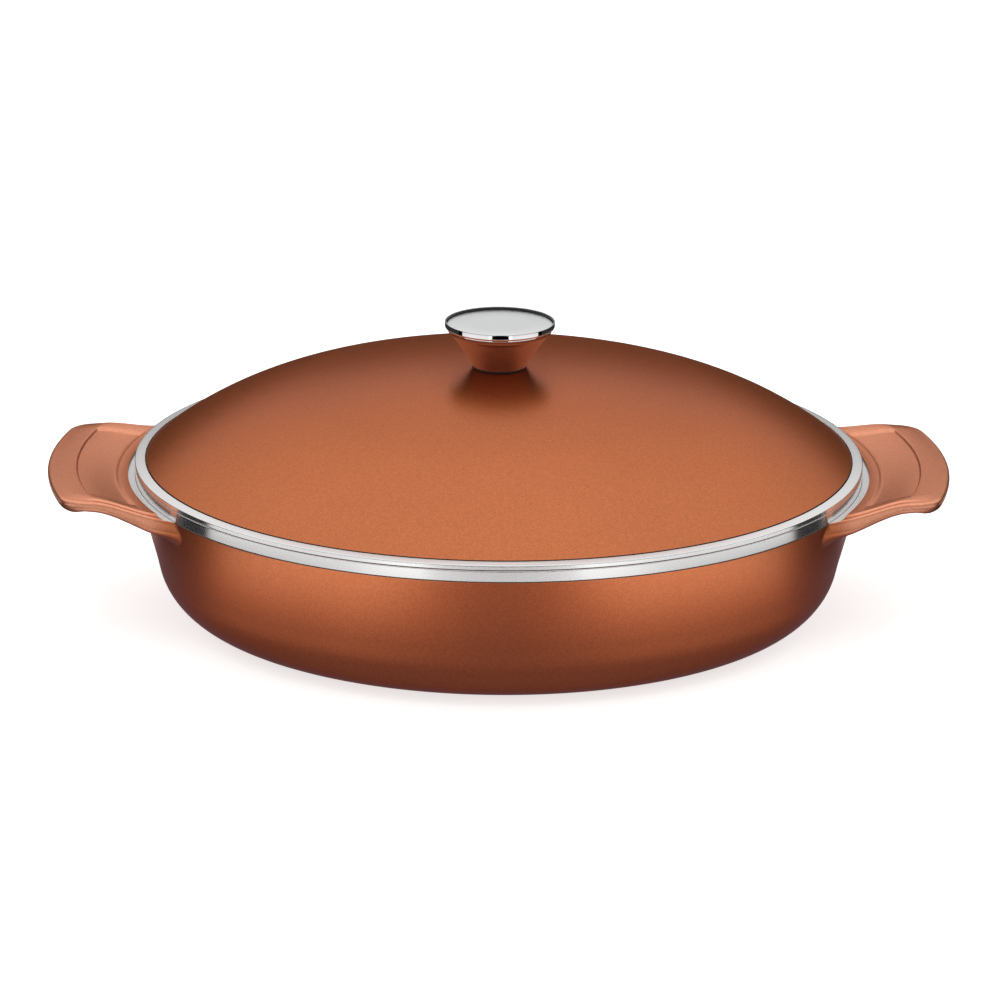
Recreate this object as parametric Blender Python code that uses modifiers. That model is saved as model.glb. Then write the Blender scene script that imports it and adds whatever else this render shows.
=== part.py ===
"""A shallow cast pan with two wing handles, and its domed lid with a polished metal knob.

The pan stands on z = 0 with its axis on Z, and its handles point along X. The lid's pieces hang from
an empty in the rim's plane, so that they lift off together along Z, and the knob's pieces hang from an
empty on the lid's crown.
"""

import math

import bmesh
import bpy

MM = 0.001

# Fits
SEAT_GAP = 0.3 * MM  # between pieces that rest on or in each other
LIP_CLEARANCE = 0.5 * MM  # between the lid's lip and the pan's wall

# Bowl
RIM_RADIUS = 166.0 * MM  # the turned outside of the rim
PAN_HEIGHT = 67.8 * MM  # table to the top of the rim
WALL_TAPER = math.radians(13.2)  # how far the wall leans out from upright
WALL_THICKNESS = 3.8 * MM
BASE_THICKNESS = 5.0 * MM
OUTER_CORNER = 27.5 * MM  # radius between base and wall, outside
INNER_CORNER = 26.0 * MM  # the same inside

# Turned rim
RIM_BAND = 5.0 * MM  # height of the turned band
RIM_STEP = 0.5 * MM  # how far the cast bead stands out from the turned band
BEAD_REACH = 1.5 * MM  # how far the bead stands out from the wall's own line
BEAD_HEIGHT = 4.0 * MM  # how far below the band the bead starts
SHELF_WIDTH = 3.4 * MM  # flat that the turning leaves round the rim, on the handles

# Handles, cast in one with the bowl
HANDLE_REACH = 205.8 * MM  # pan's axis to the round outer end
HANDLE_TIP_WIDTH = 124.0 * MM  # across the sides, where they would cross the outer end
HANDLE_SPLAY = math.radians(11.3)  # each side opens by this much towards the bowl
HANDLE_CORNER = 14.0 * MM  # corner radius seen from above
FLARE_RADIUS = 100.0 * MM  # hollow curve that runs each side into the wall
FLARE_DEPTH = 6.0 * MM  # the flare touches a circle this far inside the rim
SHELF_DEPTH = 1.0 * MM  # how far the turning cut into the handle's top
HANDLE_RISE = 4.2 * MM  # how much higher the outer end is than the root
PLATE_THICKNESS = 5.7 * MM
ROOT_THICKENING = 5.3 * MM  # added under the handle where it meets the rim
ROOT_CURVE = 2.2  # how suddenly the underside drops to the root
END_BEAD = 1.5 * MM  # finger bead under the outer end
END_BEAD_WIDTH = 9.2 * MM
EDGE_TOP_RADIUS = 1.2 * MM
EDGE_UNDER_RADIUS = 2.6 * MM
END_UNDER_RADIUS = 4.6 * MM  # fuller rounding under the outer end
BORDER_WIDTH = 9.4 * MM  # border round the sunk panel
BORDER_DROP = 0.9 * MM  # how far the border falls to its edge
PANEL_DEPTH = 1.0 * MM
PANEL_SLOPE = 4.0 * MM  # width of the panel's soft sides
PANEL_STEP = 0.8 * MM  # width of the crisp step at the panel's outer end
PANEL_ROOT_BORDER = 3.9 * MM  # raised band between the turned shelf and the panel
PANEL_ROOT_SLOPE = 1.6 * MM
END_PAD = 12.9 * MM  # raised pad between the panel and the outer end

# Lid
LID_OVERHANG = 0.2 * MM  # the lid's edge stands out from the rim by this much
LID_EDGE_HEIGHT = 2.1 * MM  # upright edge of the turned ring
LID_RING_WIDTH = 5.2 * MM
LID_RING_RISE = 0.8 * MM  # the turned ring climbs by this much to the dome
LID_EDGE_BREAK = 0.4 * MM  # broken edge of the ring
LID_THICKNESS = 3.2 * MM
DOME_FOOT_ANGLE = math.radians(38.3)  # slope of the dome where it meets the ring
DOME_SHOULDER = 166.0 * MM  # radius of the outer curve of the dome
DOME_CROWN = 440.0 * MM  # radius of the flatter curve in the middle
LIP_DEPTH = 4.6 * MM  # the lip reaches this far down into the pan
LIP_THICKNESS = 3.3 * MM
LIP_CHAMFER = 0.8 * MM
KNOB_FLAT_RADIUS = 13.2 * MM  # flat on the crown that the knob stands on
SCREW_FLAT_RADIUS = 9.5 * MM  # flat under the crown for the seal

# Knob
KNOB_HEIGHT = 20.1 * MM
KNOB_RADIUS = 25.0 * MM
KNOB_FOOT_RADIUS = 12.3 * MM
KNOB_BAND = 3.2 * MM  # bright band under the lip
KNOB_BAND_TAPER = 0.7 * MM  # how far the band draws in
KNOB_GROOVE = 0.5 * MM
KNOB_RIB = 2.5 * MM  # height of the soft rib between band and cone
KNOB_RIB_TAPER = 1.4 * MM
CONE_HOLLOW = 0.4 * MM  # how far the cone's side is hollowed
KNOB_WALL = 1.2 * MM
KNOB_LIP_WALL = 0.65 * MM
DISC_RECESS = 1.6 * MM  # from the lip down to the disc
DISC_THICKNESS = 1.0 * MM
GASKET_THICKNESS = 1.0 * MM
GASKET_RADIUS = 12.6 * MM

# Fasteners
SCREW_RADIUS = 2.5 * MM
SCREW_ENGAGEMENT = 9.0 * MM  # how far the screw reaches into the knob
SCREW_HEAD_RADIUS = 4.75 * MM
SCREW_HEAD_HEIGHT = 3.0 * MM
DRIVE_LENGTH = 5.4 * MM
DRIVE_WIDTH = 1.2 * MM
DRIVE_DEPTH = 1.7 * MM
INSERT_RADIUS = 4.0 * MM
INSERT_LENGTH = 10.2 * MM
WASHER_RADIUS = 8.0 * MM
WASHER_THICKNESS = 1.2 * MM
SEAL_RADIUS = 7.5 * MM
SEAL_THICKNESS = 1.5 * MM

# Facets round each turned piece
PAN_FACETS = 72
KNOB_FACETS = 48
FASTENER_FACETS = 24

# Facets along each curve of a profile
OUTER_CORNER_STEPS = 7
INNER_CORNER_STEPS = 6
CROWN_STEPS = 4
SHOULDER_STEPS = 8
INNER_CROWN_STEPS = 3
INNER_SHOULDER_STEPS = 6
CONE_STEPS = 5

MERGE_DISTANCE = 0.01 * MM  # points closer than this are one
SMOOTH_ANGLE = math.radians(25)  # facets that meet at less than this are shaded as one surface
MOST_STRETCH = 2.5  # limit on the spread of a section's points where it meets the edge at a slant

# Sizes that follow from the ones above
SHELF_HEIGHT = PAN_HEIGHT - RIM_BAND
SHELF_RADIUS = RIM_RADIUS + SHELF_WIDTH
BEAD_RADIUS = RIM_RADIUS + RIM_STEP
HANDLE_ROOT_HEIGHT = SHELF_HEIGHT + SHELF_DEPTH
PANEL_INNER_RADIUS = SHELF_RADIUS + PANEL_ROOT_BORDER
PANEL_OUTER_RADIUS = HANDLE_REACH - END_PAD
LID_RADIUS = RIM_RADIUS + LID_OVERHANG
DOME_FOOT_RADIUS = LID_RADIUS - LID_RING_WIDTH
DOME_FOOT_HEIGHT = LID_EDGE_HEIGHT + LID_RING_RISE
HOLE_RADIUS = SCREW_RADIUS + SEAT_GAP
LARGE = 20.0 * MM  # how far a cutter reaches past what it cuts


def clear_scene():
    for thing in list(bpy.data.objects):
        bpy.data.objects.remove(thing, do_unlink=True)


def new_collection(name):
    collection = bpy.data.collections.new(name)
    bpy.context.scene.collection.children.link(collection)
    return collection


def new_material(name, colour, roughness, metallic):
    material = bpy.data.materials.new(name)
    material.use_nodes = True
    shader = material.node_tree.nodes["Principled BSDF"]
    shader.inputs["Base Color"].default_value = (*colour, 1)
    shader.inputs["Roughness"].default_value = roughness
    shader.inputs["Metallic"].default_value = metallic
    material.diffuse_color = (*colour, 1)
    return material


def new_object(name, mesh, collection, parent=None):
    thing = bpy.data.objects.new(name, mesh)
    thing.parent = parent
    collection.objects.link(thing)
    return thing


def turned(name, profile, facets, collection, parent=None, ring=False):
    """A profile of (radius, height) points, spun round Z. A ring's profile closes on itself."""
    mesh = bpy.data.meshes.new(name)
    edges = [(i, i + 1) for i in range(len(profile) - 1)]
    if ring:
        edges.append((len(profile) - 1, 0))
    mesh.from_pydata([(radius, 0, height) for radius, height in profile], edges, [])
    thing = new_object(name, mesh, collection, parent)
    screw = thing.modifiers.new("turn", "SCREW")
    screw.steps = screw.render_steps = facets
    screw.use_merge_vertices = True
    screw.merge_threshold = MERGE_DISTANCE
    return thing


def arc(centre, radius, start, end, steps):
    """Points on an arc. Angles are measured from the upward axis towards the outside."""
    turns = [start + (end - start) * i / steps for i in range(steps + 1)]
    return [(centre[0] + radius * math.sin(a), centre[1] + radius * math.cos(a)) for a in turns]


def ease(value, start, end):
    """0 up to start, 1 from end on, and a smooth climb between them."""
    share = min(max((value - start) / (end - start), 0), 1)
    return share * share * (3 - 2 * share)


def boolean(thing, other, operation):
    modifier = thing.modifiers.new(other.name, "BOOLEAN")
    modifier.operation = operation
    modifier.object = other


def make_helper(thing):
    thing.hide_render = True
    thing.display_type = "WIRE"
    return thing


def wall_line(height, inset=0):
    """Radius of the straight wall at a height, or of a line this far inside it, square to it."""
    top = BEAD_RADIUS - BEAD_REACH
    return top - (SHELF_HEIGHT - height) * math.tan(WALL_TAPER) - inset / math.cos(WALL_TAPER)


def corner_arc(radius, floor, inset, steps):
    """The round corner from the wall's tangent point down to the floor."""
    height = floor + radius
    centre = (wall_line(height, inset + radius), height)
    upper = math.pi / 2 + WALL_TAPER
    return arc(centre, radius, upper, math.pi, steps)


class HandleOutline:
    """Half of a handle seen from above: a straight side, a flare into the wall and a round corner."""

    def __init__(self):
        half = HANDLE_TIP_WIDTH / 2
        self.across = (math.sin(HANDLE_SPLAY), math.cos(HANDLE_SPLAY))
        self.along = (math.cos(HANDLE_SPLAY), -math.sin(HANDLE_SPLAY))
        self.side = self.across[0] * math.sqrt(HANDLE_REACH**2 - half**2) + self.across[1] * half
        flare_distance = RIM_RADIUS - FLARE_DEPTH + FLARE_RADIUS
        self.flare = self.centre(flare_distance, self.side + FLARE_RADIUS)
        self.corner = self.centre(HANDLE_REACH - HANDLE_CORNER, self.side - HANDLE_CORNER)

    def centre(self, distance, across):
        """The point this far from the pan's axis and this far out across the side."""
        along = math.sqrt(distance**2 - across**2)
        return tuple(across * a + along * b for a, b in zip(self.across, self.along))

    def crossing(self, radius, centre, size):
        """Angle at the pan's axis from a round curve's centre to where a circle crosses the curve."""
        distance = math.hypot(*centre)
        cosine = (radius**2 + distance**2 - size**2) / (2 * radius * distance)
        return math.acos(min(max(cosine, -1), 1))

    def edge_angle(self, radius):
        """Angle from the handle's middle to its edge, this far from the pan's axis."""
        flare_end = math.hypot(self.along_of(self.flare), self.side)
        corner_start = math.hypot(self.along_of(self.corner), self.side)
        if radius < flare_end:
            middle = math.atan2(self.flare[1], self.flare[0])
            return middle - self.crossing(radius, self.flare, FLARE_RADIUS)
        if radius > corner_start:
            middle = math.atan2(self.corner[1], self.corner[0])
            return middle + self.crossing(radius, self.corner, HANDLE_CORNER)
        return math.pi / 2 - HANDLE_SPLAY - math.acos(self.side / radius)

    def along_of(self, point):
        return point[0] * self.along[0] + point[1] * self.along[1]

    def stretch(self, radius):
        """How much further a step along a circle is than the same step square to the edge."""
        step = 0.5 * MM
        turn = (self.edge_angle(radius) - self.edge_angle(radius - step)) * radius / step
        return min(math.hypot(1, turn), MOST_STRETCH)

    def inset(self, x, y):
        """How far a point lies inside the outline."""
        y = abs(y)
        from_corner = (x - self.corner[0], y - self.corner[1])
        beyond_side = self.along_of(from_corner) > 0
        beyond_end = self.corner[0] * from_corner[1] - self.corner[1] * from_corner[0] > 0
        if beyond_side and beyond_end:
            return max(HANDLE_CORNER - math.hypot(*from_corner), 0)
        if self.along_of((x, y)) > self.along_of(self.flare):
            to_side = self.side - (x * self.across[0] + y * self.across[1])
        else:
            to_side = math.hypot(x - self.flare[0], y - self.flare[1]) - FLARE_RADIUS
        return max(min(to_side, HANDLE_REACH - math.hypot(x, y)), 0)


def rounding(inset, radius):
    """How far a rounded edge lies back from the flat, this far in from the edge."""
    away = max(radius - inset, 0)
    return radius - math.sqrt(radius**2 - away**2)


def handle_crest(radius):
    """Height of the handle's top where nothing is sunk or rounded."""
    return HANDLE_ROOT_HEIGHT + HANDLE_RISE * ease(radius, SHELF_RADIUS, PANEL_OUTER_RADIUS)


def handle_top(radius, inset):
    border = BORDER_DROP * (1 - ease(inset, 0, BORDER_WIDTH))
    sunk = ease(inset, BORDER_WIDTH, BORDER_WIDTH + PANEL_SLOPE)
    sunk *= ease(radius, PANEL_INNER_RADIUS, PANEL_INNER_RADIUS + PANEL_ROOT_SLOPE)
    sunk *= 1 - ease(radius, PANEL_OUTER_RADIUS - PANEL_STEP, PANEL_OUTER_RADIUS)
    return handle_crest(radius) - border - PANEL_DEPTH * sunk - rounding(inset, EDGE_TOP_RADIUS)


def handle_underside(radius, inset):
    bead_start = HANDLE_REACH - END_BEAD_WIDTH
    to_root = max(bead_start - radius, 0) / (bead_start - RIM_RADIUS)
    at_end = ease(radius, bead_start, HANDLE_REACH - END_BEAD_WIDTH / 2)
    thickness = PLATE_THICKNESS + ROOT_THICKENING * to_root**ROOT_CURVE + END_BEAD * at_end
    edge_radius = EDGE_UNDER_RADIUS + (END_UNDER_RADIUS - EDGE_UNDER_RADIUS) * at_end
    return handle_crest(radius) - thickness + rounding(inset, edge_radius)


def handle_radii():
    """Where the handle's cross-sections lie, from inside the wall to the outer end."""
    root = RIM_RADIUS - 2 * WALL_THICKNESS
    stops = [root, RIM_RADIUS - WALL_THICKNESS / 2, SHELF_RADIUS - SHELF_WIDTH / 2]
    stops += [SHELF_RADIUS + PANEL_ROOT_BORDER / 3, PANEL_INNER_RADIUS]
    stops.append(PANEL_INNER_RADIUS + PANEL_ROOT_SLOPE)
    panel_end = PANEL_OUTER_RADIUS - PANEL_STEP
    panel = panel_end - stops[-1]
    stops += [stops[-1] + panel / 3, stops[-1] + 2 * panel / 3, panel_end, PANEL_OUTER_RADIUS]
    return stops + [HANDLE_REACH - inset for inset in reversed(edge_insets())]


def edge_insets():
    """Distances in from the edge that draw its rounding and its border."""
    rounded = [0, 0.2 * EDGE_TOP_RADIUS, EDGE_TOP_RADIUS, EDGE_UNDER_RADIUS]
    return rounded + [END_UNDER_RADIUS, BORDER_WIDTH]


def handle_angles(outline, radius):
    """Angles of the points across one section, from the middle to the edge."""
    edge = outline.edge_angle(radius)
    stretch = outline.stretch(radius)
    insets = edge_insets() + [BORDER_WIDTH + PANEL_SLOPE]
    outer = [edge - inset * stretch / radius for inset in insets]
    return [outer[-1] * share / 3 for share in range(3)] + outer[::-1]


def handle_mesh():
    """A plate lofted through sections that lie round the pan's axis."""
    outline = HandleOutline()
    bm = bmesh.new()
    tops = []
    bottoms = []
    for radius in handle_radii():
        half = handle_angles(outline, radius)
        angles = [-angle for angle in half[:0:-1]] + half
        top = []
        bottom = []
        for angle in angles:
            x = radius * math.cos(angle)
            y = radius * math.sin(angle)
            inset = outline.inset(x, y)
            top.append(bm.verts.new((x, y, handle_top(radius, inset))))
            bottom.append(bm.verts.new((x, y, handle_underside(radius, inset))))
        tops.append(top)
        bottoms.append(bottom)
    last = len(tops[0]) - 1
    for i in range(len(tops) - 1):
        for j in range(last):
            bm.faces.new((tops[i][j], tops[i + 1][j], tops[i + 1][j + 1], tops[i][j + 1]))
            bm.faces.new((bottoms[i][j], bottoms[i][j + 1], bottoms[i + 1][j + 1], bottoms[i + 1][j]))
        for j in (0, last):
            bm.faces.new((tops[i][j], bottoms[i][j], bottoms[i + 1][j], tops[i + 1][j]))
    for i in (0, len(tops) - 1):
        for j in range(last):
            bm.faces.new((tops[i][j], tops[i][j + 1], bottoms[i][j + 1], bottoms[i][j]))
    bmesh.ops.recalc_face_normals(bm, faces=bm.faces)
    mesh = bpy.data.meshes.new("wing_handle")
    bm.to_mesh(mesh)
    bm.free()
    return mesh


def make_pan(parts, cutters, coating):
    """The casting: a solid blank joined to both handles, then hollowed and turned at the rim."""
    outside = [(0, PAN_HEIGHT), (BEAD_RADIUS, PAN_HEIGHT), (BEAD_RADIUS, SHELF_HEIGHT - RIM_STEP)]
    bead_start = SHELF_HEIGHT - BEAD_HEIGHT
    outside.append((wall_line(bead_start), bead_start))
    outside += corner_arc(OUTER_CORNER, 0, 0, OUTER_CORNER_STEPS)
    outside.append((0, 0))
    pan = turned("pan_casting", outside, PAN_FACETS, parts)
    mesh = handle_mesh()
    for side, turn in (("right", 0), ("left", math.pi)):
        handle = make_helper(new_object("wing_handle_" + side, mesh, cutters))
        handle.rotation_euler.z = turn
        boolean(pan, handle, "UNION")
    above = PAN_HEIGHT + LARGE
    inside = [(0, above), (wall_line(above, WALL_THICKNESS), above)]
    inside += corner_arc(INNER_CORNER, BASE_THICKNESS, WALL_THICKNESS, INNER_CORNER_STEPS)
    inside.append((0, BASE_THICKNESS))
    boolean(pan, make_helper(turned("bowl_inside", inside, PAN_FACETS, cutters)), "DIFFERENCE")
    turning = [(RIM_RADIUS, above), (SHELF_RADIUS, above)]
    turning += [(SHELF_RADIUS, SHELF_HEIGHT), (RIM_RADIUS, SHELF_HEIGHT)]
    rim = turned("rim_turning", turning, PAN_FACETS, cutters, ring=True)
    boolean(pan, make_helper(rim), "DIFFERENCE")
    pan.data.materials.append(coating)


class Dome:
    """The dome's section, a crown curve that runs into a tighter shoulder, offset inwards by a depth."""

    def __init__(self, depth):
        foot = DOME_FOOT_ANGLE
        self.radius = DOME_SHOULDER - depth
        self.crown_radius = DOME_CROWN - depth
        self.centre = (
            DOME_FOOT_RADIUS - DOME_SHOULDER * math.sin(foot),
            DOME_FOOT_HEIGHT - DOME_SHOULDER * math.cos(foot),
        )
        self.meeting = math.asin(self.centre[0] / (DOME_CROWN - DOME_SHOULDER))
        drop = (DOME_CROWN - DOME_SHOULDER) * math.cos(self.meeting)
        self.crown_centre = (0, self.centre[1] - drop)

    def angle_at(self, radius):
        """Slope of the shoulder at a radius."""
        return math.asin((radius - self.centre[0]) / self.radius)

    def crown_angle_at(self, radius):
        return math.asin(radius / self.crown_radius)

    def height_at(self, radius):
        """Height of the crown at a radius, from the lid's seat."""
        return self.crown_centre[1] + self.crown_radius * math.cos(self.crown_angle_at(radius))

    def points(self, inner, outer, crown_steps, shoulder_steps):
        """Points from an inner radius on the crown to an outer one on the shoulder."""
        crown_start = self.crown_angle_at(inner)
        crown = arc(self.crown_centre, self.crown_radius, crown_start, self.meeting, crown_steps)
        last = self.angle_at(outer)
        shoulder = arc(self.centre, self.radius, self.meeting, last, shoulder_steps)
        return crown + shoulder[1:]


def make_lid(parts, seat, coating):
    """The domed lid. Its ring rests on the rim, and its lip reaches down inside the wall."""
    outside = Dome(0)
    inside = Dome(LID_THICKNESS)
    profile = [(HOLE_RADIUS, outside.height_at(KNOB_FLAT_RADIUS))]
    profile += outside.points(KNOB_FLAT_RADIUS, DOME_FOOT_RADIUS, CROWN_STEPS, SHOULDER_STEPS)
    profile.append((LID_RADIUS - LID_EDGE_BREAK, LID_EDGE_HEIGHT))
    profile.append((LID_RADIUS, LID_EDGE_HEIGHT - LID_EDGE_BREAK))
    profile.append((LID_RADIUS, 0))
    lip_radius = wall_line(PAN_HEIGHT - LIP_DEPTH, WALL_THICKNESS) - LIP_CLEARANCE
    lip_inside = lip_radius - LIP_THICKNESS
    profile.append((lip_radius, 0))
    profile.append((lip_radius, LIP_CHAMFER - LIP_DEPTH))
    profile.append((lip_radius - LIP_CHAMFER, -LIP_DEPTH))
    profile.append((lip_inside, -LIP_DEPTH))
    ceiling = inside.points(SCREW_FLAT_RADIUS, lip_inside, INNER_CROWN_STEPS, INNER_SHOULDER_STEPS)
    profile += ceiling[::-1]
    profile.append((HOLE_RADIUS, inside.height_at(SCREW_FLAT_RADIUS)))
    lid = turned("lid_casting", profile, PAN_FACETS, parts, seat, ring=True)
    lid.data.materials.append(coating)


def cone_points(top, bottom, steps):
    """Points down a cone's side that is hollowed by a shallow curve."""
    points = []
    for i in range(steps + 1):
        share = i / steps
        hollow = CONE_HOLLOW * 4 * share * (1 - share)
        radius = top[0] + (bottom[0] - top[0]) * share - hollow
        points.append((radius, top[1] + (bottom[1] - top[1]) * share))
    return points


def knob_profile(inset):
    """The cone under the knob's rib, from top to foot, or the same side this far inside it."""
    rib_top = KNOB_HEIGHT - KNOB_BAND - KNOB_GROOVE
    cone_top = rib_top - KNOB_RIB
    rib_radius = KNOB_RADIUS - KNOB_BAND_TAPER - KNOB_GROOVE
    cone_radius = rib_radius - KNOB_RIB_TAPER
    return cone_points((cone_radius - inset, cone_top), (KNOB_FOOT_RADIUS - inset, 0), CONE_STEPS)


def make_knob_shell(parts, foot, metal):
    """Thin polished metal: a lip, an upright band, a groove, a rib and a hollow-sided cone."""
    band_end = KNOB_HEIGHT - KNOB_BAND
    band_radius = KNOB_RADIUS - KNOB_BAND_TAPER
    rib_radius = band_radius - KNOB_GROOVE
    rib_top = band_end - KNOB_GROOVE
    bore = KNOB_RADIUS - KNOB_LIP_WALL
    edge = KNOB_LIP_WALL / 2
    profile = [(bore, KNOB_HEIGHT), (KNOB_RADIUS - edge, KNOB_HEIGHT)]
    profile.append((KNOB_RADIUS, KNOB_HEIGHT - edge))
    profile.append((KNOB_RADIUS, KNOB_HEIGHT - KNOB_BAND / 2))
    profile += [(band_radius, band_end), (rib_radius, rib_top)]
    profile.append((rib_radius - KNOB_RIB_TAPER / 4, rib_top - KNOB_RIB / 2))
    profile += knob_profile(0)
    inner = knob_profile(KNOB_WALL)
    profile += inner[::-1]
    seat = disc_underside() - SEAT_GAP
    profile += [(core_radius() + SEAT_GAP, rib_top), (core_radius() + SEAT_GAP, seat), (bore, seat)]
    shell = turned("knob_shell", profile, KNOB_FACETS, parts, foot, ring=True)
    shell.data.materials.append(metal)


def disc_underside():
    return KNOB_HEIGHT - DISC_RECESS - DISC_THICKNESS


def core_radius():
    """Radius of the core's head, just under the disc."""
    return KNOB_RADIUS - KNOB_BAND_TAPER - KNOB_GROOVE - KNOB_WALL - SEAT_GAP


def make_knob_disc(parts, foot, metal):
    radius = KNOB_RADIUS - KNOB_LIP_WALL - SEAT_GAP
    top = disc_underside() + DISC_THICKNESS
    chamfer = DISC_THICKNESS / 4
    profile = [(0, top), (radius - chamfer, top), (radius, top - chamfer)]
    profile += [(radius, disc_underside()), (0, disc_underside())]
    disc = turned("knob_top_disc", profile, KNOB_FACETS, parts, foot)
    disc.data.materials.append(metal)


def make_knob_core(parts, foot, plastic):
    """The plastic that fills the shell, with a blind hole in its foot for the threaded insert."""
    top = disc_underside() - SEAT_GAP
    rib_top = KNOB_HEIGHT - KNOB_BAND - KNOB_GROOVE
    profile = [(0, top), (core_radius(), top), (core_radius(), rib_top)]
    profile += knob_profile(KNOB_WALL + SEAT_GAP)
    hole = INSERT_RADIUS + SEAT_GAP
    hole_end = INSERT_LENGTH + 2 * SEAT_GAP
    profile += [(hole, 0), (hole, hole_end), (0, hole_end)]
    core = turned("knob_core", profile, KNOB_FACETS, parts, foot)
    core.data.materials.append(plastic)


def tube(name, outer, top, bottom, parts, parent, material):
    """A plain turned ring round the screw."""
    profile = [(HOLE_RADIUS, top), (outer, top), (outer, bottom), (HOLE_RADIUS, bottom)]
    ring = turned(name, profile, FASTENER_FACETS, parts, parent, ring=True)
    ring.data.materials.append(material)


def make_screw(parts, cutters, seat, tip, head_top, metal):
    """A pan-head screw with a cross drive, which comes up through the lid into the knob."""
    head_end = head_top - SCREW_HEAD_HEIGHT
    dome = SCREW_HEAD_HEIGHT / 2
    point = SCREW_RADIUS / 3
    profile = [(0, tip), (SCREW_RADIUS - point, tip), (SCREW_RADIUS, tip - point)]
    profile += [(SCREW_RADIUS, head_top), (SCREW_HEAD_RADIUS, head_top)]
    profile += [(SCREW_HEAD_RADIUS, head_end + dome), (SCREW_HEAD_RADIUS * 0.8, head_end + dome / 4)]
    profile += [(SCREW_HEAD_RADIUS / 2, head_end), (0, head_end)]
    screw = turned("knob_screw", profile, FASTENER_FACETS, parts, seat)
    for name, turn in (("drive_slot_a", 0), ("drive_slot_b", math.pi / 2)):
        bm = bmesh.new()
        bmesh.ops.create_cube(bm, size=1)
        bmesh.ops.scale(bm, vec=(DRIVE_LENGTH, DRIVE_WIDTH, 2 * DRIVE_DEPTH), verts=bm.verts)
        mesh = bpy.data.meshes.new(name)
        bm.to_mesh(mesh)
        bm.free()
        slot = make_helper(new_object(name, mesh, cutters, seat))
        slot.location.z = head_end
        slot.rotation_euler.z = turn
        boolean(screw, slot, "DIFFERENCE")
    screw.data.materials.append(metal)


def bake_modifiers(parts):
    """Turns each part's modifiers into its mesh, and shades it smooth up to its real edges."""
    bpy.context.view_layer.update()
    graph = bpy.context.evaluated_depsgraph_get()
    meshes = {}
    for part in parts.objects:
        if part.type == "MESH":
            meshes[part] = bpy.data.meshes.new_from_object(part.evaluated_get(graph))
    for part, mesh in meshes.items():
        part.modifiers.clear()
        part.data = mesh
        mesh.shade_smooth()
        mesh.set_sharp_from_angle(angle=SMOOTH_ANGLE)


def main():
    clear_scene()
    parts = new_collection("lidded_frying_pan")
    cutters = new_collection("cutters")
    coating = new_material("copper_coating", (0.42, 0.13, 0.06), 0.35, 0.75)
    polished = new_material("polished_metal", (0.86, 0.86, 0.87), 0.06, 1)
    satin = new_material("satin_metal", (0.72, 0.73, 0.74), 0.35, 1)
    steel = new_material("plain_steel", (0.55, 0.55, 0.56), 0.3, 1)
    brass = new_material("insert_brass", (0.6, 0.42, 0.17), 0.35, 1)
    plastic = new_material("black_plastic", (0.012, 0.012, 0.013), 0.45, 0)
    rubber = new_material("dark_silicone", (0.02, 0.02, 0.022), 0.6, 0)

    make_pan(parts, cutters, coating)

    seat = new_object("lid_seat", None, parts)
    seat.location.z = PAN_HEIGHT + SEAT_GAP
    make_lid(parts, seat, coating)

    gasket_base = Dome(0).height_at(KNOB_FLAT_RADIUS) + SEAT_GAP
    tube("knob_foot_gasket", GASKET_RADIUS, gasket_base + GASKET_THICKNESS, gasket_base,
         parts, seat, rubber)
    foot = new_object("knob_foot", None, parts, seat)
    foot.location.z = gasket_base + GASKET_THICKNESS + SEAT_GAP
    make_knob_shell(parts, foot, polished)
    make_knob_disc(parts, foot, satin)
    make_knob_core(parts, foot, plastic)
    tube("knob_insert", INSERT_RADIUS, SEAT_GAP + INSERT_LENGTH, SEAT_GAP, parts, foot, brass)

    seal_top = Dome(LID_THICKNESS).height_at(SCREW_FLAT_RADIUS) - SEAT_GAP
    tube("screw_seal", SEAL_RADIUS, seal_top, seal_top - SEAL_THICKNESS, parts, seat, rubber)
    washer_top = seal_top - SEAL_THICKNESS - SEAT_GAP
    tube("screw_washer", WASHER_RADIUS, washer_top, washer_top - WASHER_THICKNESS, parts, seat, steel)
    head_top = washer_top - WASHER_THICKNESS - SEAT_GAP
    screw_tip = foot.location.z + SCREW_ENGAGEMENT
    make_screw(parts, cutters, seat, screw_tip, head_top, steel)
    bake_modifiers(parts)


main()
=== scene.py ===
# %% [markdown]
# # A copper-coloured pan with a domed lid
#
# This lesson dresses a finished construction model for its picture. The construction model is the fixed
# frame: it says where each piece lies and how it moves. Here a camera, a floor and a lamp come first, and
# then each piece gets its fine surface and its finish.

# %% Load the fixed frame
import math

import bmesh
import bpy
import numpy as np
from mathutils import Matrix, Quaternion, Vector


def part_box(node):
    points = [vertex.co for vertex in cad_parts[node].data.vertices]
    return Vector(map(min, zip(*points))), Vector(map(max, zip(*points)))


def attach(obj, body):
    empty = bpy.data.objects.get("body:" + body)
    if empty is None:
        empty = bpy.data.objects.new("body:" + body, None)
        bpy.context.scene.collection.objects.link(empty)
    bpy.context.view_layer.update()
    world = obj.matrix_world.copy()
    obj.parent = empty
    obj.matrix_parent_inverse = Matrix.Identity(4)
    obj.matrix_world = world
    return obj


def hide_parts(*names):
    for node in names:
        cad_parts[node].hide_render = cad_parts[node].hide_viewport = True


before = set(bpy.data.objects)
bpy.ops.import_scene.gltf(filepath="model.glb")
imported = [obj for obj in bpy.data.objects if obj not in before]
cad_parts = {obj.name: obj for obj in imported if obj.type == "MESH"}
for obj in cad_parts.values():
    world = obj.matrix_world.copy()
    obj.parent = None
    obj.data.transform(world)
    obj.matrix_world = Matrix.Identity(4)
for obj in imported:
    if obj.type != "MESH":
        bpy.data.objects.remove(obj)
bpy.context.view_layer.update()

print("Nodes:", ", ".join(sorted(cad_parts)))

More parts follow.
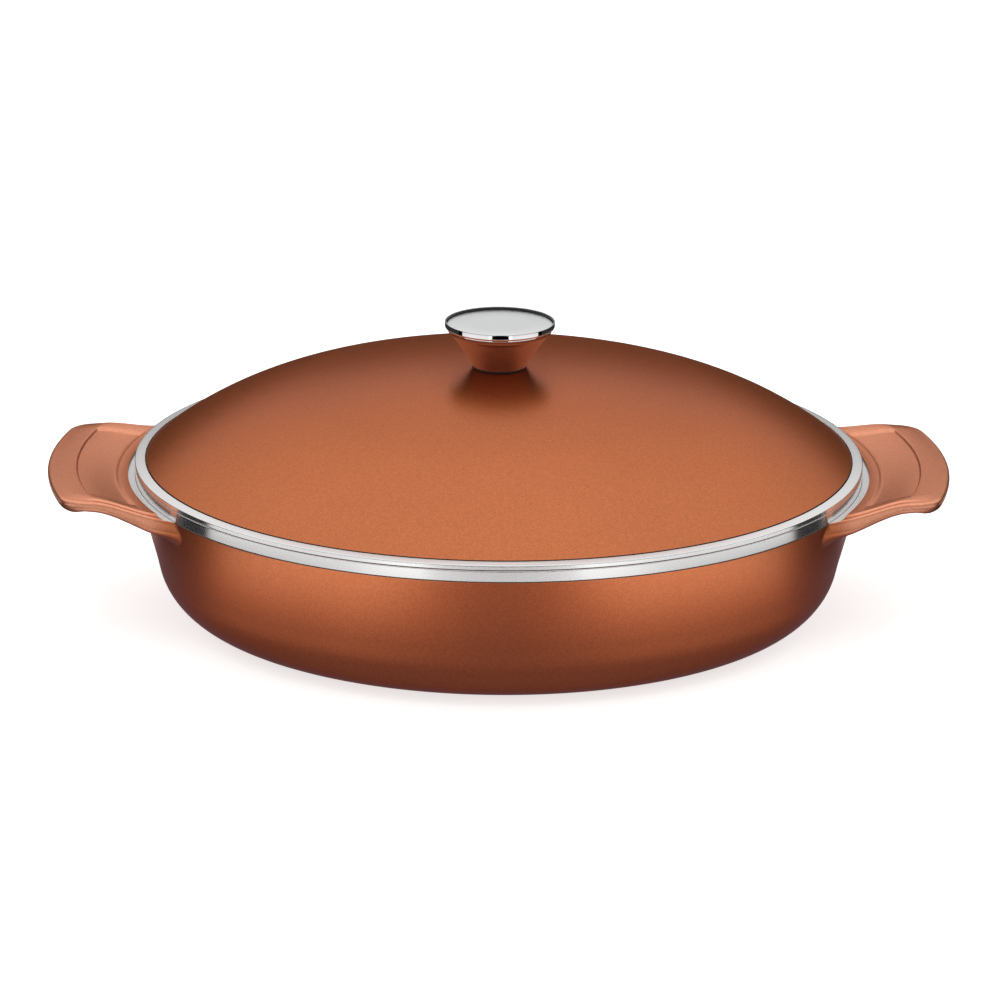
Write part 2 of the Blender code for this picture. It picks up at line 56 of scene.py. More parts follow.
# %% [markdown]
# ## The camera
#
# A product picture is taken with a long lens from some distance, so that the circles stay nearly
# parallel. The viewing angle here was found by fitting the rim's circles to the photograph. The pan is
# turned by about one degree in the picture. The construction model stays square to its axes, so the
# camera walks round it by that degree instead, and it leans a little for the picture's tilt.

# %% Place the camera
MM = 0.001
LENS = 227.7  # millimetres, as is the sensor's width
SENSOR_WIDTH = 36
CLIP_RANGE = (0.1, 60.0)
DISTANCE = 2898 * MM
LOOK_DOWN = math.radians(16.99)
WALK_ROUND = math.radians(-1.3)
LEAN = math.radians(0.475)
AIM = Vector((0.7 * MM, 0, 49.2 * MM))


def direction(azimuth, elevation):
    """From the pan outwards. Azimuth 0 is the photographed side, and it grows to the right."""
    level = math.cos(elevation)
    return Vector((math.sin(azimuth) * level, -math.cos(azimuth) * level, math.sin(elevation)))


def add_to_scene(name, data):
    thing = bpy.data.objects.new(name, data)
    bpy.context.scene.collection.objects.link(thing)
    return thing


towards_camera = direction(WALK_ROUND, LOOK_DOWN)
camera_data = bpy.data.cameras.new("camera")
camera_data.lens = LENS
camera_data.sensor_width = SENSOR_WIDTH
camera_data.clip_start, camera_data.clip_end = CLIP_RANGE
camera = add_to_scene("camera", camera_data)
camera.location = AIM + towards_camera * DISTANCE
camera.rotation_mode = "QUATERNION"
camera.rotation_quaternion = towards_camera.to_track_quat("Z", "Y") @ Quaternion((0, 0, 1), LEAN)
bpy.context.scene.camera = camera
print("Camera at", [round(value, 3) for value in camera.location])

# %% [markdown]
# ## Node trees in short calls
#
# Every finish below is a small tree of shader nodes. Blender's own calls for this are wordy, so a few
# helpers keep the recipes readable. The first makes a material with its even values set on the shader.
# The second adds a node and fills its inputs, either with numbers or with another node's output. The
# floor's pale paint is the first finish that they make.

# %% Helpers for finishes
FLOOR_COLOUR = (0.8, 0.8, 0.8)


def new_finish(name, colour, roughness, metallic, **sockets):
    """A material with its even values set, and its shader."""
    material = bpy.data.materials.new(name)
    material.use_nodes = True
    shader = material.node_tree.nodes["Principled BSDF"]
    shader.inputs["Base Color"].default_value = (*colour, 1)
    shader.inputs["Roughness"].default_value = roughness
    shader.inputs["Metallic"].default_value = metallic
    for socket, value in sockets.items():
        shader.inputs[socket.replace("_", " ")].default_value = value
    material.diffuse_color = (*colour, 1)
    return material, shader


def add_node(tree, kind, settings, *inputs, **named):
    """A node with its inputs set, in order or by name, to numbers or to other nodes' outputs."""
    made = tree.nodes.new("ShaderNode" + kind)
    for name, value in settings.items():
        setattr(made, name, value)
    pairs = list(zip(made.inputs, inputs))
    pairs += [(made.inputs[name.replace("_", " ")], value) for name, value in named.items()]
    for socket, value in pairs:
        if isinstance(value, bpy.types.NodeSocket):
            tree.links.new(value, socket)
        else:
            socket.default_value = value
    return made.outputs


floor_paint, floor_shader = new_finish("pale_floor", FLOOR_COLOUR, roughness=0.7, metallic=0)
print("First finish:", floor_paint.name)

# %% [markdown]
# ## Distances on the floor
#
# The floor is a large pale plane. A photographer would lay white and black cards on it, which show only as
# reflections in the pan's metal. They could be planes that the camera doesn't see. Here the floor does
# that work itself, with a pattern that only reflected rays meet, because soft edges are easy to draw in
# nodes. The pattern is a product of soft steps, and each step runs along one of the distances below.

# %% Measure the floor
LEVEL_CENTRE = 30 * MM  # how far before the pan's axis the rings of brightness have their centre


def calculate(tree, operation, first, second=0.0):
    return add_node(tree, "Math", {"operation": operation}, first, second)[0]


def place(tree):
    """Where a point lies on its object, in metres."""
    return add_node(tree, "TexCoord", {})["Object"]


def vector_length(tree, vector):
    return add_node(tree, "VectorMath", {"operation": "LENGTH"}, vector)["Value"]


def floor_distances(tree):
    where = place(tree)
    axes = add_node(tree, "SeparateXYZ", {}, where)
    moved = add_node(tree, "VectorMath", {"operation": "ADD"}, where, (0, LEVEL_CENTRE, 0))[0]
    return {
        "backwards": axes[1],
        "off_the_middle": calculate(tree, "ABSOLUTE", axes[0]),
        "off_the_handles": calculate(tree, "ABSOLUTE", axes[1]),
        "from_axis": vector_length(tree, where),
        "from_centre": vector_length(tree, moved),
    }


floor_tree = floor_paint.node_tree
on_floor = floor_distances(floor_tree)
print("Distances:", ", ".join(on_floor))

# %% [markdown]
# ## White ring and black gaps
#
# In reflections the floor is dark under the pan, with a wide white ring round it. The ring is dimmer
# straight ahead, so that the wall gets two light bands with a darker stretch between them. It has black
# gaps beside the handles and in front, where the camera stands. Polished metal needs such dark edges, or
# it looks like white paint.

# %% Draw the ring and the gaps
# Where each soft step starts and ends, and its level before the start where that isn't 0
PAN_SHADE = (160 * MM, 233 * MM)
DIM_AHEAD = (5 * MM, 110 * MM, 0.27)
HANDLE_LINE = (30 * MM, 95 * MM)
OUTER_RING = (262 * MM, 325 * MM)
OUTER_BACK = (120 * MM, 60 * MM)
OUTER_MIDDLE = (210 * MM, 150 * MM)
HANDLE_GAP = (40 * MM, 54 * MM)
HANDLE_GAP_START = (300 * MM, 270 * MM)
CAMERA_GAP_START = (-408 * MM, -390 * MM)
CAMERA_GAP_SIDE = (143 * MM, 152 * MM)


def blend_in(tree, value, start, end, low=0.0, high=1.0):
    """low up to start, high from end on, and a smooth change between them."""
    smooth = {"interpolation_type": "SMOOTHSTEP"}
    return add_node(tree, "MapRange", smooth, value, start, end, low, high)[0]


def floor_step(distance, *limits):
    return blend_in(floor_tree, on_floor[distance], *limits)


def together(tree, *shares):
    product = shares[0]
    for share in shares[1:]:
        product = calculate(tree, "MULTIPLY", product, share)
    return product


def either(tree, first, second):
    return calculate(tree, "MAXIMUM", first, second)


def white_share(tree):
    """How white the floor is, from 0 to 1."""
    inner = together(
        tree,
        floor_step("from_axis", *PAN_SHADE),
        floor_step("off_the_middle", *DIM_AHEAD),
        floor_step("off_the_handles", *HANDLE_LINE),
    )
    sides = either(tree, floor_step("backwards", *OUTER_BACK), floor_step("off_the_middle", *OUTER_MIDDLE))
    return either(tree, inner, together(tree, floor_step("from_axis", *OUTER_RING), sides))


def lit_share(tree):
    """0 in the black gaps and 1 beside them."""
    off_handles = either(
        tree, floor_step("off_the_handles", *HANDLE_GAP), floor_step("from_axis", *HANDLE_GAP_START)
    )
    off_camera = either(
        tree, floor_step("backwards", *CAMERA_GAP_START), floor_step("off_the_middle", *CAMERA_GAP_SIDE)
    )
    return together(tree, off_handles, off_camera)


white, lit = white_share(floor_tree), lit_share(floor_tree)
print("Nodes of the floor's pattern:", len(floor_tree.nodes))

# %% [markdown]
# ## Brightness of the floor
#
# Each part of the pan mirrors its own ring of the floor: the wall a near one, the handles' front faces
# the next and the rim's band a far one. So three levels of brightness, from the inside out, balance
# them, and a shade at the handles makes their lower edges darker. Further out comes the plain floor, which
# is dim in front and nearly black behind the pan. To the camera the floor is a plain pale one that
# glows a little, so that it comes out white away from the pan and still shows the pan's shadow.

# %% Lay the floor
CARD_COLOURS = [(0.17, 0.135, 0.165), (0.48, 0.375, 0.37), (1, 1, 1)]
CARD_LEVELS = (1.4, 0.55, 1.38)
FIRST_CHANGE = (240 * MM, 285 * MM)
SECOND_CHANGE = (322 * MM, 342 * MM)
FAR_START = (480 * MM, 560 * MM)
# Start and end of a step, and the values before and after it
HANDLE_SHADE = (185 * MM, 225 * MM, 1.0, 0.4)
FAR_LEVELS = (-250 * MM, -60 * MM, 0.5, 0.03)
FAR_START_BACK = (-60 * MM, 40 * MM, 0.0, 110 * MM)  # behind the pan the far floor starts this much nearer
FLOOR_GLOW = 0.7
FLOOR_SIDE = 30.0
WHITE = (1, 1, 1, 1)


def colour_steps(tree, share, *colours):
    """Colours spread evenly over shares from 0 to 1."""
    ramp = add_node(tree, "ValToRGB", {}, share)[0]
    elements = ramp.node.color_ramp.elements
    while len(elements) < len(colours):
        elements.new(0.5)
    for i, colour in enumerate(colours):
        elements[i].position = i / (len(colours) - 1)
        elements[i].color = (*colour, 1)
    return ramp


def mix_shaders(tree, share, first, second):
    return add_node(tree, "MixShader", {}, share, first, second)[0]


def card_level(tree):
    nearest, between, furthest = CARD_LEVELS
    inner = floor_step("from_centre", *FIRST_CHANGE, nearest, between)
    outer = floor_step("from_centre", *SECOND_CHANGE, 0.0, furthest - between)
    shade_at_handles = floor_step("off_the_middle", *HANDLE_SHADE)
    return calculate(tree, "ADD", together(tree, inner, shade_at_handles), outer)


def reflected_floor(tree):
    cards = colour_steps(tree, white, *CARD_COLOURS)
    near = add_node(tree, "Emission", {}, cards, together(tree, card_level(tree), lit))[0]
    far_level = together(tree, floor_step("backwards", *FAR_LEVELS), lit)
    far = add_node(tree, "Emission", {}, WHITE, far_level)[0]
    reach = calculate(tree, "ADD", on_floor["from_axis"], floor_step("backwards", *FAR_START_BACK))
    return mix_shaders(tree, blend_in(tree, reach, *FAR_START), near, far)


def finish_floor(tree):
    rays = add_node(tree, "LightPath", {})
    floor_shader.inputs["Emission Color"].default_value = WHITE
    glow = calculate(tree, "MULTIPLY", rays["Is Camera Ray"], FLOOR_GLOW)
    tree.links.new(glow, floor_shader.inputs["Emission Strength"])
    surface = mix_shaders(tree, rays["Is Glossy Ray"], floor_shader.outputs[0], reflected_floor(tree))
    tree.links.new(surface, tree.nodes["Material Output"].inputs["Surface"])


def square_mesh(name, side, material):
    half = side / 2
    mesh = bpy.data.meshes.new(name)
    corners = [(-half, -half, 0), (half, -half, 0), (half, half, 0), (-half, half, 0)]
    mesh.from_pydata(corners, [], [(0, 1, 2, 3)])
    mesh.materials.append(material)
    return mesh


finish_floor(floor_tree)
floor = add_to_scene("floor", square_mesh("floor", FLOOR_SIDE, floor_paint))
floor.location.z = -0.05 * MM  # just under the pan, so that the two faces don't lie in one plane
print("Floor:", FLOOR_SIDE, "m wide, with", len(floor_tree.nodes), "nodes")

# %% [markdown]
# ## Surroundings
#
# The surroundings are a soft sky, bright overhead and dimmer towards the camera. Behind the pan the
# horizon is dark, which gives the dome its dark upper edge. To the camera they are plain white. A picture
# of a studio could be wrapped round the scene instead, but then the light couldn't be set in numbers.

# %% Light the surroundings
HORIZON_LEVEL = 0.03
SKY_LEVEL = 0.76
CEILING_LEVEL = 0.96
BACK_SKY = [math.sin(math.radians(angle)) for angle in (8, 23)]
FRONT_LEVEL = 0.5
FRONT_SKY = [math.sin(math.radians(angle)) for angle in (38, 62)]
FRONT_TO_BACK = (-0.25, 0.1)


def spread(tree, value, low, high):
    """Stretches a pattern's values from 0..1 to a range."""
    return add_node(tree, "MapRange", {}, value, 0.0, 1.0, low, high)[0]


def sky_level(tree):
    """The sky's brightness in each direction."""
    axes = add_node(tree, "SeparateXYZ", {}, add_node(tree, "TexCoord", {})["Generated"])
    lower = blend_in(tree, axes[2], *BACK_SKY, HORIZON_LEVEL, SKY_LEVEL)
    back_sky = calculate(tree, "ADD", lower, spread(tree, axes[2], 0.0, CEILING_LEVEL - SKY_LEVEL))
    front_sky = blend_in(tree, axes[2], *FRONT_SKY, FRONT_LEVEL, 1.0)
    return spread(tree, blend_in(tree, axes[1], *FRONT_TO_BACK), front_sky, back_sky)


world = bpy.data.worlds.new("studio")
bpy.context.scene.world = world
world.use_nodes = True
world.node_tree.nodes.clear()
sky = add_node(world.node_tree, "Background", {}, WHITE, sky_level(world.node_tree))[0]
plain_white = add_node(world.node_tree, "Background", {}, WHITE, 1.0)[0]
camera_ray = add_node(world.node_tree, "LightPath", {})["Is Camera Ray"]
seen = mix_shaders(world.node_tree, camera_ray, sky, plain_white)
add_node(world.node_tree, "OutputWorld", {}, seen)
bpy.context.scene.view_settings.view_transform = "Standard"
print("Surroundings from", HORIZON_LEVEL, "at the horizon to", CEILING_LEVEL, "overhead")

# %% [markdown]
# ## One lamp
#
# One large soft lamp overhead gives the pan its shadow. It could be a small sun, but that would cut a
# hard shadow into the white. It shows in no reflection, because the bright surroundings already do.

# %% Hang the lamp
LAMP_TARGET = Vector((0, 0, 60 * MM))
LAMP_ELEVATION = math.radians(88)
LAMP_DISTANCE = 1.3
LAMP_SIDE = 1.4
LAMP_LEVEL = 0.7  # in parts of the white of the surroundings

lamp_data = bpy.data.lights.new("ceiling_lamp", "AREA")
lamp_data.shape = "SQUARE"
lamp_data.size = LAMP_SIDE
lamp_data.energy = LAMP_LEVEL * math.pi * LAMP_SIDE**2
lamp = add_to_scene("ceiling_lamp", lamp_data)
lamp.visible_glossy = False
towards_lamp = direction(0, LAMP_ELEVATION)
lamp.location = LAMP_TARGET + towards_lamp * LAMP_DISTANCE
lamp.rotation_euler = towards_lamp.to_track_quat("Z", "Y").to_euler()
print("Lamp of", round(lamp_data.energy, 2), "W")

# %% [markdown]
# ## The copper-coloured coating
#
# The coating is a baked paint with fine metal flakes, satin and not shiny. Two things make such a paint.
# It reflects like rough metal, and it gets darker towards the edges of a round form, because the flakes
# lie flat in it. The shader's specular tint does this second part: on a metal it sets the colour at
# grazing angles. The flakes themselves are the cells of a Voronoi pattern, each a little lighter or
# darker and a little tilted. One plain colour would do from afar, but close by it looks like plastic. The
# handles get painted light: their colour fades to a paler copper with the distance from the axis, just
# outside the rim, so that they look lighter than the bowl, as the light on them makes them look.

# %% Make the coating
COPPER = (0.6, 0.173, 0.06)
COPPER_EDGE = (0.45, 0.26, 0.2)
# Painted light: a paler copper for the handles, which stands in for the light on them
HANDLE_PAINTED_LIGHT = (0.94, 0.385, 0.225)
PAINTED_LIGHT_FADE = (167 * MM, 175 * MM)
FLAKE_SIZE = 0.55 * MM
FLAKE_SHADES = (0.9, 1.1)
FLAKE_GLOSS = (0.28, 0.4)
FLAKE_TILT = 0.012 * MM
CLOUD_SIZE = 60 * MM
CLOUD_SHADES = (0.95, 1.05)


def shaded(tree, colour, factor):
    """A colour made lighter or darker by a factor that a pattern gives."""
    return add_node(tree, "VectorMath", {"operation": "SCALE"}, colour, Scale=factor)[0]


def noise(tree, where, size, detail):
    settings = {"Vector": where, "Scale": 1 / size, "Detail": detail}
    return add_node(tree, "TexNoise", {}, **settings)[0]


def roughen(tree, shader, height, depth, strength):
    """A pattern as fine relief."""
    bump = add_node(tree, "Bump", {}, Strength=strength, Distance=depth, Height=height)
    tree.links.new(bump[0], shader.inputs["Normal"])


def distance_from_axis(tree, where):
    sideways = add_node(tree, "VectorMath", {"operation": "MULTIPLY"}, where, (1, 1, 0))[0]
    return vector_length(tree, sideways)


def make_coating():
    coating, shader = new_finish(
        "copper_coating", COPPER, roughness=0.34, metallic=0.95,
        Specular_Tint=(*COPPER_EDGE, 1), Coat_Weight=0.42, Coat_Roughness=0.25,
    )
    tree = coating.node_tree
    where = place(tree)
    flakes = add_node(tree, "TexVoronoi", {}, Vector=where, Scale=1 / FLAKE_SIZE)
    flake = add_node(tree, "SeparateColor", {}, flakes["Color"])
    clouds = noise(tree, where, CLOUD_SIZE, detail=3.0)
    lightness = together(tree, spread(tree, flake[0], *FLAKE_SHADES), spread(tree, clouds, *CLOUD_SHADES))
    # Painted light: the colour fades to the paler copper outside the rim
    painted_light = blend_in(tree, distance_from_axis(tree, where), *PAINTED_LIGHT_FADE)
    paint = colour_steps(tree, painted_light, COPPER, HANDLE_PAINTED_LIGHT)
    tree.links.new(shaded(tree, paint, lightness), shader.inputs["Base Color"])
    tree.links.new(spread(tree, flake[1], *FLAKE_GLOSS), shader.inputs["Roughness"])
    roughen(tree, shader, flake[2], FLAKE_TILT, strength=0.6)
    return coating


copper = make_coating()
print("Coating:", len(copper.node_tree.nodes), "nodes")

# %% [markdown]
# ## Bare turned aluminium
#
# The rims were turned on a lathe after coating, which cut the paint away. A turned surface is covered
# in fine rings. They stretch every reflection across the rings, so the shader is anisotropic, with its
# direction taken round the pan's axis. The rings' own light and dark streaks come from a noise that only
# knows the distance from the axis and the height. Real grooves would take far too many faces.

# %% Make the turned metals
RING_SPACING = 0.35 * MM
RING_DEPTH = 0.003 * MM
RING_SHADES = (0.9, 1.08)
RING_GLOSS = (0.8, 1.2)  # in parts of the metal's own roughness
ALUMINIUM = (0.93, 0.92, 0.915)
BRASS = (0.6, 0.42, 0.17)
STEEL = (0.56, 0.56, 0.57)


def make_turned(name, colour, roughness, anisotropic, metallic=1):
    turned, shader = new_finish(
        name, colour, roughness, metallic, Anisotropic=anisotropic, Anisotropic_Rotation=0.25
    )
    tree = turned.node_tree
    where = place(tree)
    height = add_node(tree, "SeparateXYZ", {}, where)[2]
    ring = add_node(tree, "CombineXYZ", {}, distance_from_axis(tree, where), height, 0.0)[0]
    streaks = noise(tree, ring, RING_SPACING, detail=3.0)
    tree.links.new(shaded(tree, colour, spread(tree, streaks, *RING_SHADES)), shader.inputs["Base Color"])
    smooth, rough = (roughness * share for share in RING_GLOSS)
    tree.links.new(spread(tree, streaks, smooth, rough), shader.inputs["Roughness"])
    cross = {"operation": "CROSS_PRODUCT"}
    round_axis = add_node(tree, "VectorMath", cross, (0, 0, 1), where)[0]
    tree.links.new(round_axis, shader.inputs["Tangent"])
    roughen(tree, shader, streaks, RING_DEPTH, strength=0.2)
    return turned


bare = make_turned("turned_band", ALUMINIUM, roughness=0.16, anisotropic=0.7, metallic=0.95)
bare_top = make_turned("turned_face", ALUMINIUM, roughness=0.26, anisotropic=0.7, metallic=0.7)
brass = make_turned("insert_brass", BRASS, roughness=0.3, anisotropic=0.4)
steel = make_turned("plain_steel", STEEL, roughness=0.28, anisotropic=0.5)
print("Turned metals:", bare.name, bare_top.name, brass.name, steel.name)

# %% [markdown]
# ## The inside and the small finishes
#
# The photograph doesn't show the inside. Pans of this kind have a dark non-stick lining there, slightly
# speckled, so that is what it gets. The knob's band is polished, and its disc is satin. Its cone gets a
# darker, copper-tinted copy of the band's metal, which is painted shade and painted copper reflection on
# top of the copper below it that the cone really mirrors dimly. Thin lines where a tool has cut the
# coating, and where a step or groove meets it, get a dark finish of their own, which is painted shade.
# The rest is plain plastic and silicone. All of them have the small unevenness of the real stuff, so one
# recipe with different numbers makes them.

# %% Make the grained finishes
GRAIN_DETAIL = 4.0
GRAIN_STRENGTH = 0.5


def make_grained(name, colour, roughness, metallic, grain, depth, variation):
    """A finish with a fine grain in its lightness, gloss and relief."""
    grained, shader = new_finish(name, colour, roughness, metallic)
    tree = grained.node_tree
    pattern = noise(tree, place(tree), grain, GRAIN_DETAIL)
    low, high = 1 - variation, 1 + variation
    tree.links.new(shaded(tree, colour, spread(tree, pattern, low, high)), shader.inputs["Base Color"])
    tree.links.new(spread(tree, pattern, roughness * low, roughness * high), shader.inputs["Roughness"])
    roughen(tree, shader, pattern, depth, GRAIN_STRENGTH)
    return grained


# Name, colour, roughness, metallic, size of the grain, its depth, and how much it varies
lining = make_grained("nonstick_lining", (0.035, 0.034, 0.034), 0.36, 0, 1.2 * MM, 0.05 * MM, 0.5)
polished = make_grained("polished_metal", (0.88, 0.865, 0.87), 0.05, 1, 4 * MM, 0.001 * MM, 0.04)
# Painted shade and painted copper reflection: a darker, copper-tinted copy of the knob's polished metal,
# for its cone
cone_painted_shade = make_grained("cone_metal_painted_shade", (0.44, 0.32, 0.33), 0.1, 1, 4 * MM, 0.001 * MM, 0.04)
satin = make_grained("satin_metal", (0.95, 0.955, 0.96), 0.4, 1, 0.5 * MM, 0.004 * MM, 0.05)
plastic = make_grained("black_plastic", (0.012, 0.012, 0.013), 0.42, 0, 0.5 * MM, 0.02 * MM, 0.15)
# Painted shade: a dark finish for the thin lines at the coating's cut edges, steps and groove
painted_shade_line = make_grained("painted_shade_line", (0.05, 0.03, 0.026), 0.5, 0, 0.5 * MM, 0.02 * MM, 0.15)
silicone = make_grained("dark_silicone", (0.02, 0.02, 0.022), 0.6, 0, 0.4 * MM, 0.02 * MM, 0.15)
print("Finishes:", len(bpy.data.materials))

# %% [markdown]
# ## Turning a profile
#
# Nearly every piece here is round, so one function turns a profile into a mesh. A profile is a list of
# runs, and each run is a finish and the points that it covers, as distance from the axis and height.
# A run starts where the one before it ended. A Screw modifier could do the same job, but then a piece
# could have only one finish.

# %% Points of a profile
def arc(centre, radius, start, end, steps):
    """Points on an arc. Angles are measured from the upward axis towards the outside."""
    turns = np.linspace(start, end, steps + 1)
    return [(centre[0] + radius * math.sin(a), centre[1] + radius * math.cos(a)) for a in turns]


def straight(start, end, steps):
    """Points on a straight line, which cut a long face into short ones."""
    return [tuple(point) for point in np.linspace(start, end, steps + 1)]


def round_edge(radius, height, size):
    """The rounded edge between a level top and an upright side."""
    return arc((radius - size, height - size), size, 0, math.pi / 2, 4)


print("A rounded edge has", len(round_edge(1, 1, 0.1)), "points")

# %% A lathe for profiles
ON_AXIS = 0.001 * MM


def ring_of_points(bm, radius, height, facets):
    """One ring of the turned mesh, or a single point on the axis."""
    if radius < ON_AXIS:
        return [bm.verts.new((0, 0, height))] * facets
    turns = [2 * math.pi * i / facets for i in range(facets)]
    return [bm.verts.new((radius * math.cos(a), radius * math.sin(a), height)) for a in turns]


def shade(mesh, crease):
    """Smooth shading, apart from edges that turn by more than the crease."""
    mesh.shade_smooth()
    mesh.set_sharp_from_angle(angle=math.radians(crease))


def mesh_from(bm, name, *finishes):
    """The finished mesh, with all its faces turned outwards."""
    bmesh.ops.recalc_face_normals(bm, faces=bm.faces)
    mesh = bpy.data.meshes.new(name)
    bm.to_mesh(mesh)
    bm.free()
    for finish in finishes:
        mesh.materials.append(finish)
    return mesh


def turn_profile(name, runs, facets, closed=False, crease=30):
    """A mesh turned round Z. A closed profile joins its last point to its first."""
    bm = bmesh.new()
    finishes = list(dict.fromkeys(finish for finish, _ in runs))
    points, owners = [], []
    for finish, run in runs:
        if points:
            run = run[1:]
        points += run
        owners += [finishes.index(finish)] * len(run)
    rings = [ring_of_points(bm, radius, height, facets) for radius, height in points]
    if closed:
        rings.append(rings[0])
        owners.append(owners[-1])
    for upper, lower, owner in zip(rings, rings[1:], owners[1:]):
        for i in range(facets):
            j = (i + 1) % facets
            corners = dict.fromkeys((upper[i], lower[i], lower[j], upper[j]))
            bm.faces.new(list(corners)).material_index = owner
    mesh = mesh_from(bm, name, *finishes)
    shade(mesh, crease)
    return mesh


# A first try: a plain cork
cork = turn_profile("cork", [(silicone, [(0, 1), (1, 1), (1, 0), (0, 0)])], facets=8)
print("A cork of 8 facets has", len(cork.polygons), "faces")
bpy.data.meshes.remove(cork)

# %% [markdown]
# ## Pieces on the frame
#
# A finished mesh takes the place of the construction model's own piece and moves with the same body, the
# pan or the lid. The frame is told so in three calls.

# %% Put a piece on its body
def add_piece(name, mesh, body, slot, *replaced):
    """Puts a finished mesh on its body of the frame, in place of the frame's own nodes."""
    piece = add_to_scene(name, mesh)
    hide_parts(*replaced)
    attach(piece, body)
    print(name, "has", len(mesh.polygons), "faces")


# %% [markdown]
# ## The bowl
#
# The bowl is cast, coated all over and then turned at the rim and under the base. From the outside it
# is a flat base, a round corner, a wall that leans out by thirteen degrees and a little more towards
# the rim, and the bare band of the rim, which stands back half a millimetre from the coated wall. It could
# be cut from a sphere or a cylinder, but a turned profile holds every real size as a number.

# %% Sizes and curves of the bowl
RIM_RADIUS = 166.0 * MM
RIM_TOP = 67.8 * MM
RIM_BAND = 5.0 * MM
RIM_EDGE = 0.45 * MM
RIM_STEP = 0.5 * MM
WALL_EDGE = 0.3 * MM
LEAN_REACH = 1.5 * MM  # how much further the wall leans out at its top
LEAN_HEIGHT = 36.0 * MM  # over this height
WALL_TAPER = math.radians(13.2)
WALL_THICKNESS = 3.8 * MM
BASE_THICKNESS = 5.0 * MM
OUTER_CORNER = 27.5 * MM
INNER_CORNER = 26.0 * MM
TURNED_BASE = 1.2 * MM
PAN_FACETS = 288

SHELF_HEIGHT = RIM_TOP - RIM_BAND
WALL_TOP_RADIUS = RIM_RADIUS + RIM_STEP


def ease(value, start, end):
    """0 up to start, 1 from end on, and a smooth climb between them."""
    share = min(max((value - start) / (end - start), 0), 1)
    return share * share * (3 - 2 * share)


def wall_radius(height, inset=0.0):
    """Radius of the straight wall at a height, or of a line this far inside it, square to it."""
    top = WALL_TOP_RADIUS - LEAN_REACH
    return top - (SHELF_HEIGHT - height) * math.tan(WALL_TAPER) - inset / math.cos(WALL_TAPER)


def corner_arc(radius, floor, inset, steps):
    """The round corner from the floor up to the wall."""
    centre = (wall_radius(floor + radius, inset + radius), floor + radius)
    return arc(centre, radius, math.pi, math.pi / 2 + WALL_TAPER, steps)


def outer_radius(height):
    """Radius of the wall's outside, which leans out a little more towards the rim."""
    share = (height - SHELF_HEIGHT + LEAN_HEIGHT) / LEAN_HEIGHT
    return wall_radius(height) + LEAN_REACH * min(max(share, 0), 1)


def upper_wall(steps):
    """The upper part of the wall's outside, and its rounded top edge."""
    heights = np.linspace(SHELF_HEIGHT - LEAN_HEIGHT, SHELF_HEIGHT - 1.5 * RIM_STEP, steps + 1)
    points = [(outer_radius(height), height) for height in heights]
    widest = outer_radius(SHELF_HEIGHT - WALL_EDGE)
    return points, round_edge(widest, SHELF_HEIGHT, WALL_EDGE)[::-1]


low_wall, high_wall = wall_radius(OUTER_CORNER), wall_radius(SHELF_HEIGHT)
print("Wall leans from radius", round(low_wall * 1000, 1), "to", round(high_wall * 1000, 1))

# %% Turn the bowl
def bowl_mesh():
    lining_top = RIM_TOP - 2 * RIM_EDGE
    inner_rim = wall_radius(lining_top, WALL_THICKNESS)
    inside = [(0, BASE_THICKNESS)] + corner_arc(INNER_CORNER, BASE_THICKNESS, WALL_THICKNESS, 16)
    inside += straight(inside[-1], (inner_rim, lining_top), 8)[1:]
    rim = [inside[-1]]
    rim += arc((inner_rim + 1.4 * RIM_EDGE, RIM_TOP - RIM_EDGE), RIM_EDGE, -math.pi / 2, 0, 3)
    rim += round_edge(RIM_RADIUS, RIM_TOP, RIM_EDGE)
    rim += [(RIM_RADIUS, RIM_TOP - 1.6 * RIM_EDGE), (RIM_RADIUS, SHELF_HEIGHT)]
    upper, top_edge = upper_wall(14)
    top_edge.append(rim[-1])
    corner = corner_arc(OUTER_CORNER, 0, 0, 24)
    turned_edge = (corner[0][0] - TURNED_BASE, 0)
    outside = [turned_edge] + corner + straight(corner[-1], upper[0], 3)[1:] + upper[1:]
    outside.append(top_edge[0])
    # The wall's rounded top edge, under the bare band, gets the painted shade line
    runs = [(lining, inside), (bare, rim), (painted_shade_line, top_edge[::-1]), (copper, outside[::-1])]
    return turn_profile("bowl", runs + [(bare, [turned_edge, (0, 0)])], PAN_FACETS)


bowl = bowl_mesh()
print("Bowl:", len(bowl.polygons), "faces")

# %% [markdown]
# ## The wing handles
#
# Each handle is cast in one with the bowl: a plate with a sunk panel on top for the thumb and a bead
# under its end for the fingers. Its sides run into the wall in hollow curves, and its underside swells
# towards the wall, so that the molten metal can flow. It could be boxed from a cube with bevels. Here
# two formulas give the height of its top and its underside at each point, from the distance to the pan's
# axis and the distance to the outline, because that keeps every soft edge at its real size.

# %% The handle's side and its round curves
HANDLE_REACH = 205.8 * MM
HANDLE_TIP_WIDTH = 124.0 * MM
HANDLE_SPLAY = math.radians(11.3)
HANDLE_CORNER = 14.0 * MM
FLARE_RADIUS = 100.0 * MM
FLARE_DEPTH = 6.0 * MM
OUT_OF_SIDE = (math.sin(HANDLE_SPLAY), math.cos(HANDLE_SPLAY))
ALONG_SIDE = (math.cos(HANDLE_SPLAY), -math.sin(HANDLE_SPLAY))

half_tip = HANDLE_TIP_WIDTH / 2
SIDE_DISTANCE = OUT_OF_SIDE[0] * math.sqrt(HANDLE_REACH**2 - half_tip**2) + OUT_OF_SIDE[1] * half_tip


def curve_centre(distance, out):
    """The point this far from the pan's axis and this far out across the side."""
    along = math.sqrt(distance**2 - out**2)
    return tuple(out * a + along * b for a, b in zip(OUT_OF_SIDE, ALONG_SIDE))


def along_side(point):
    """How far along the handle's side a point lies."""
    return point[0] * ALONG_SIDE[0] + point[1] * ALONG_SIDE[1]


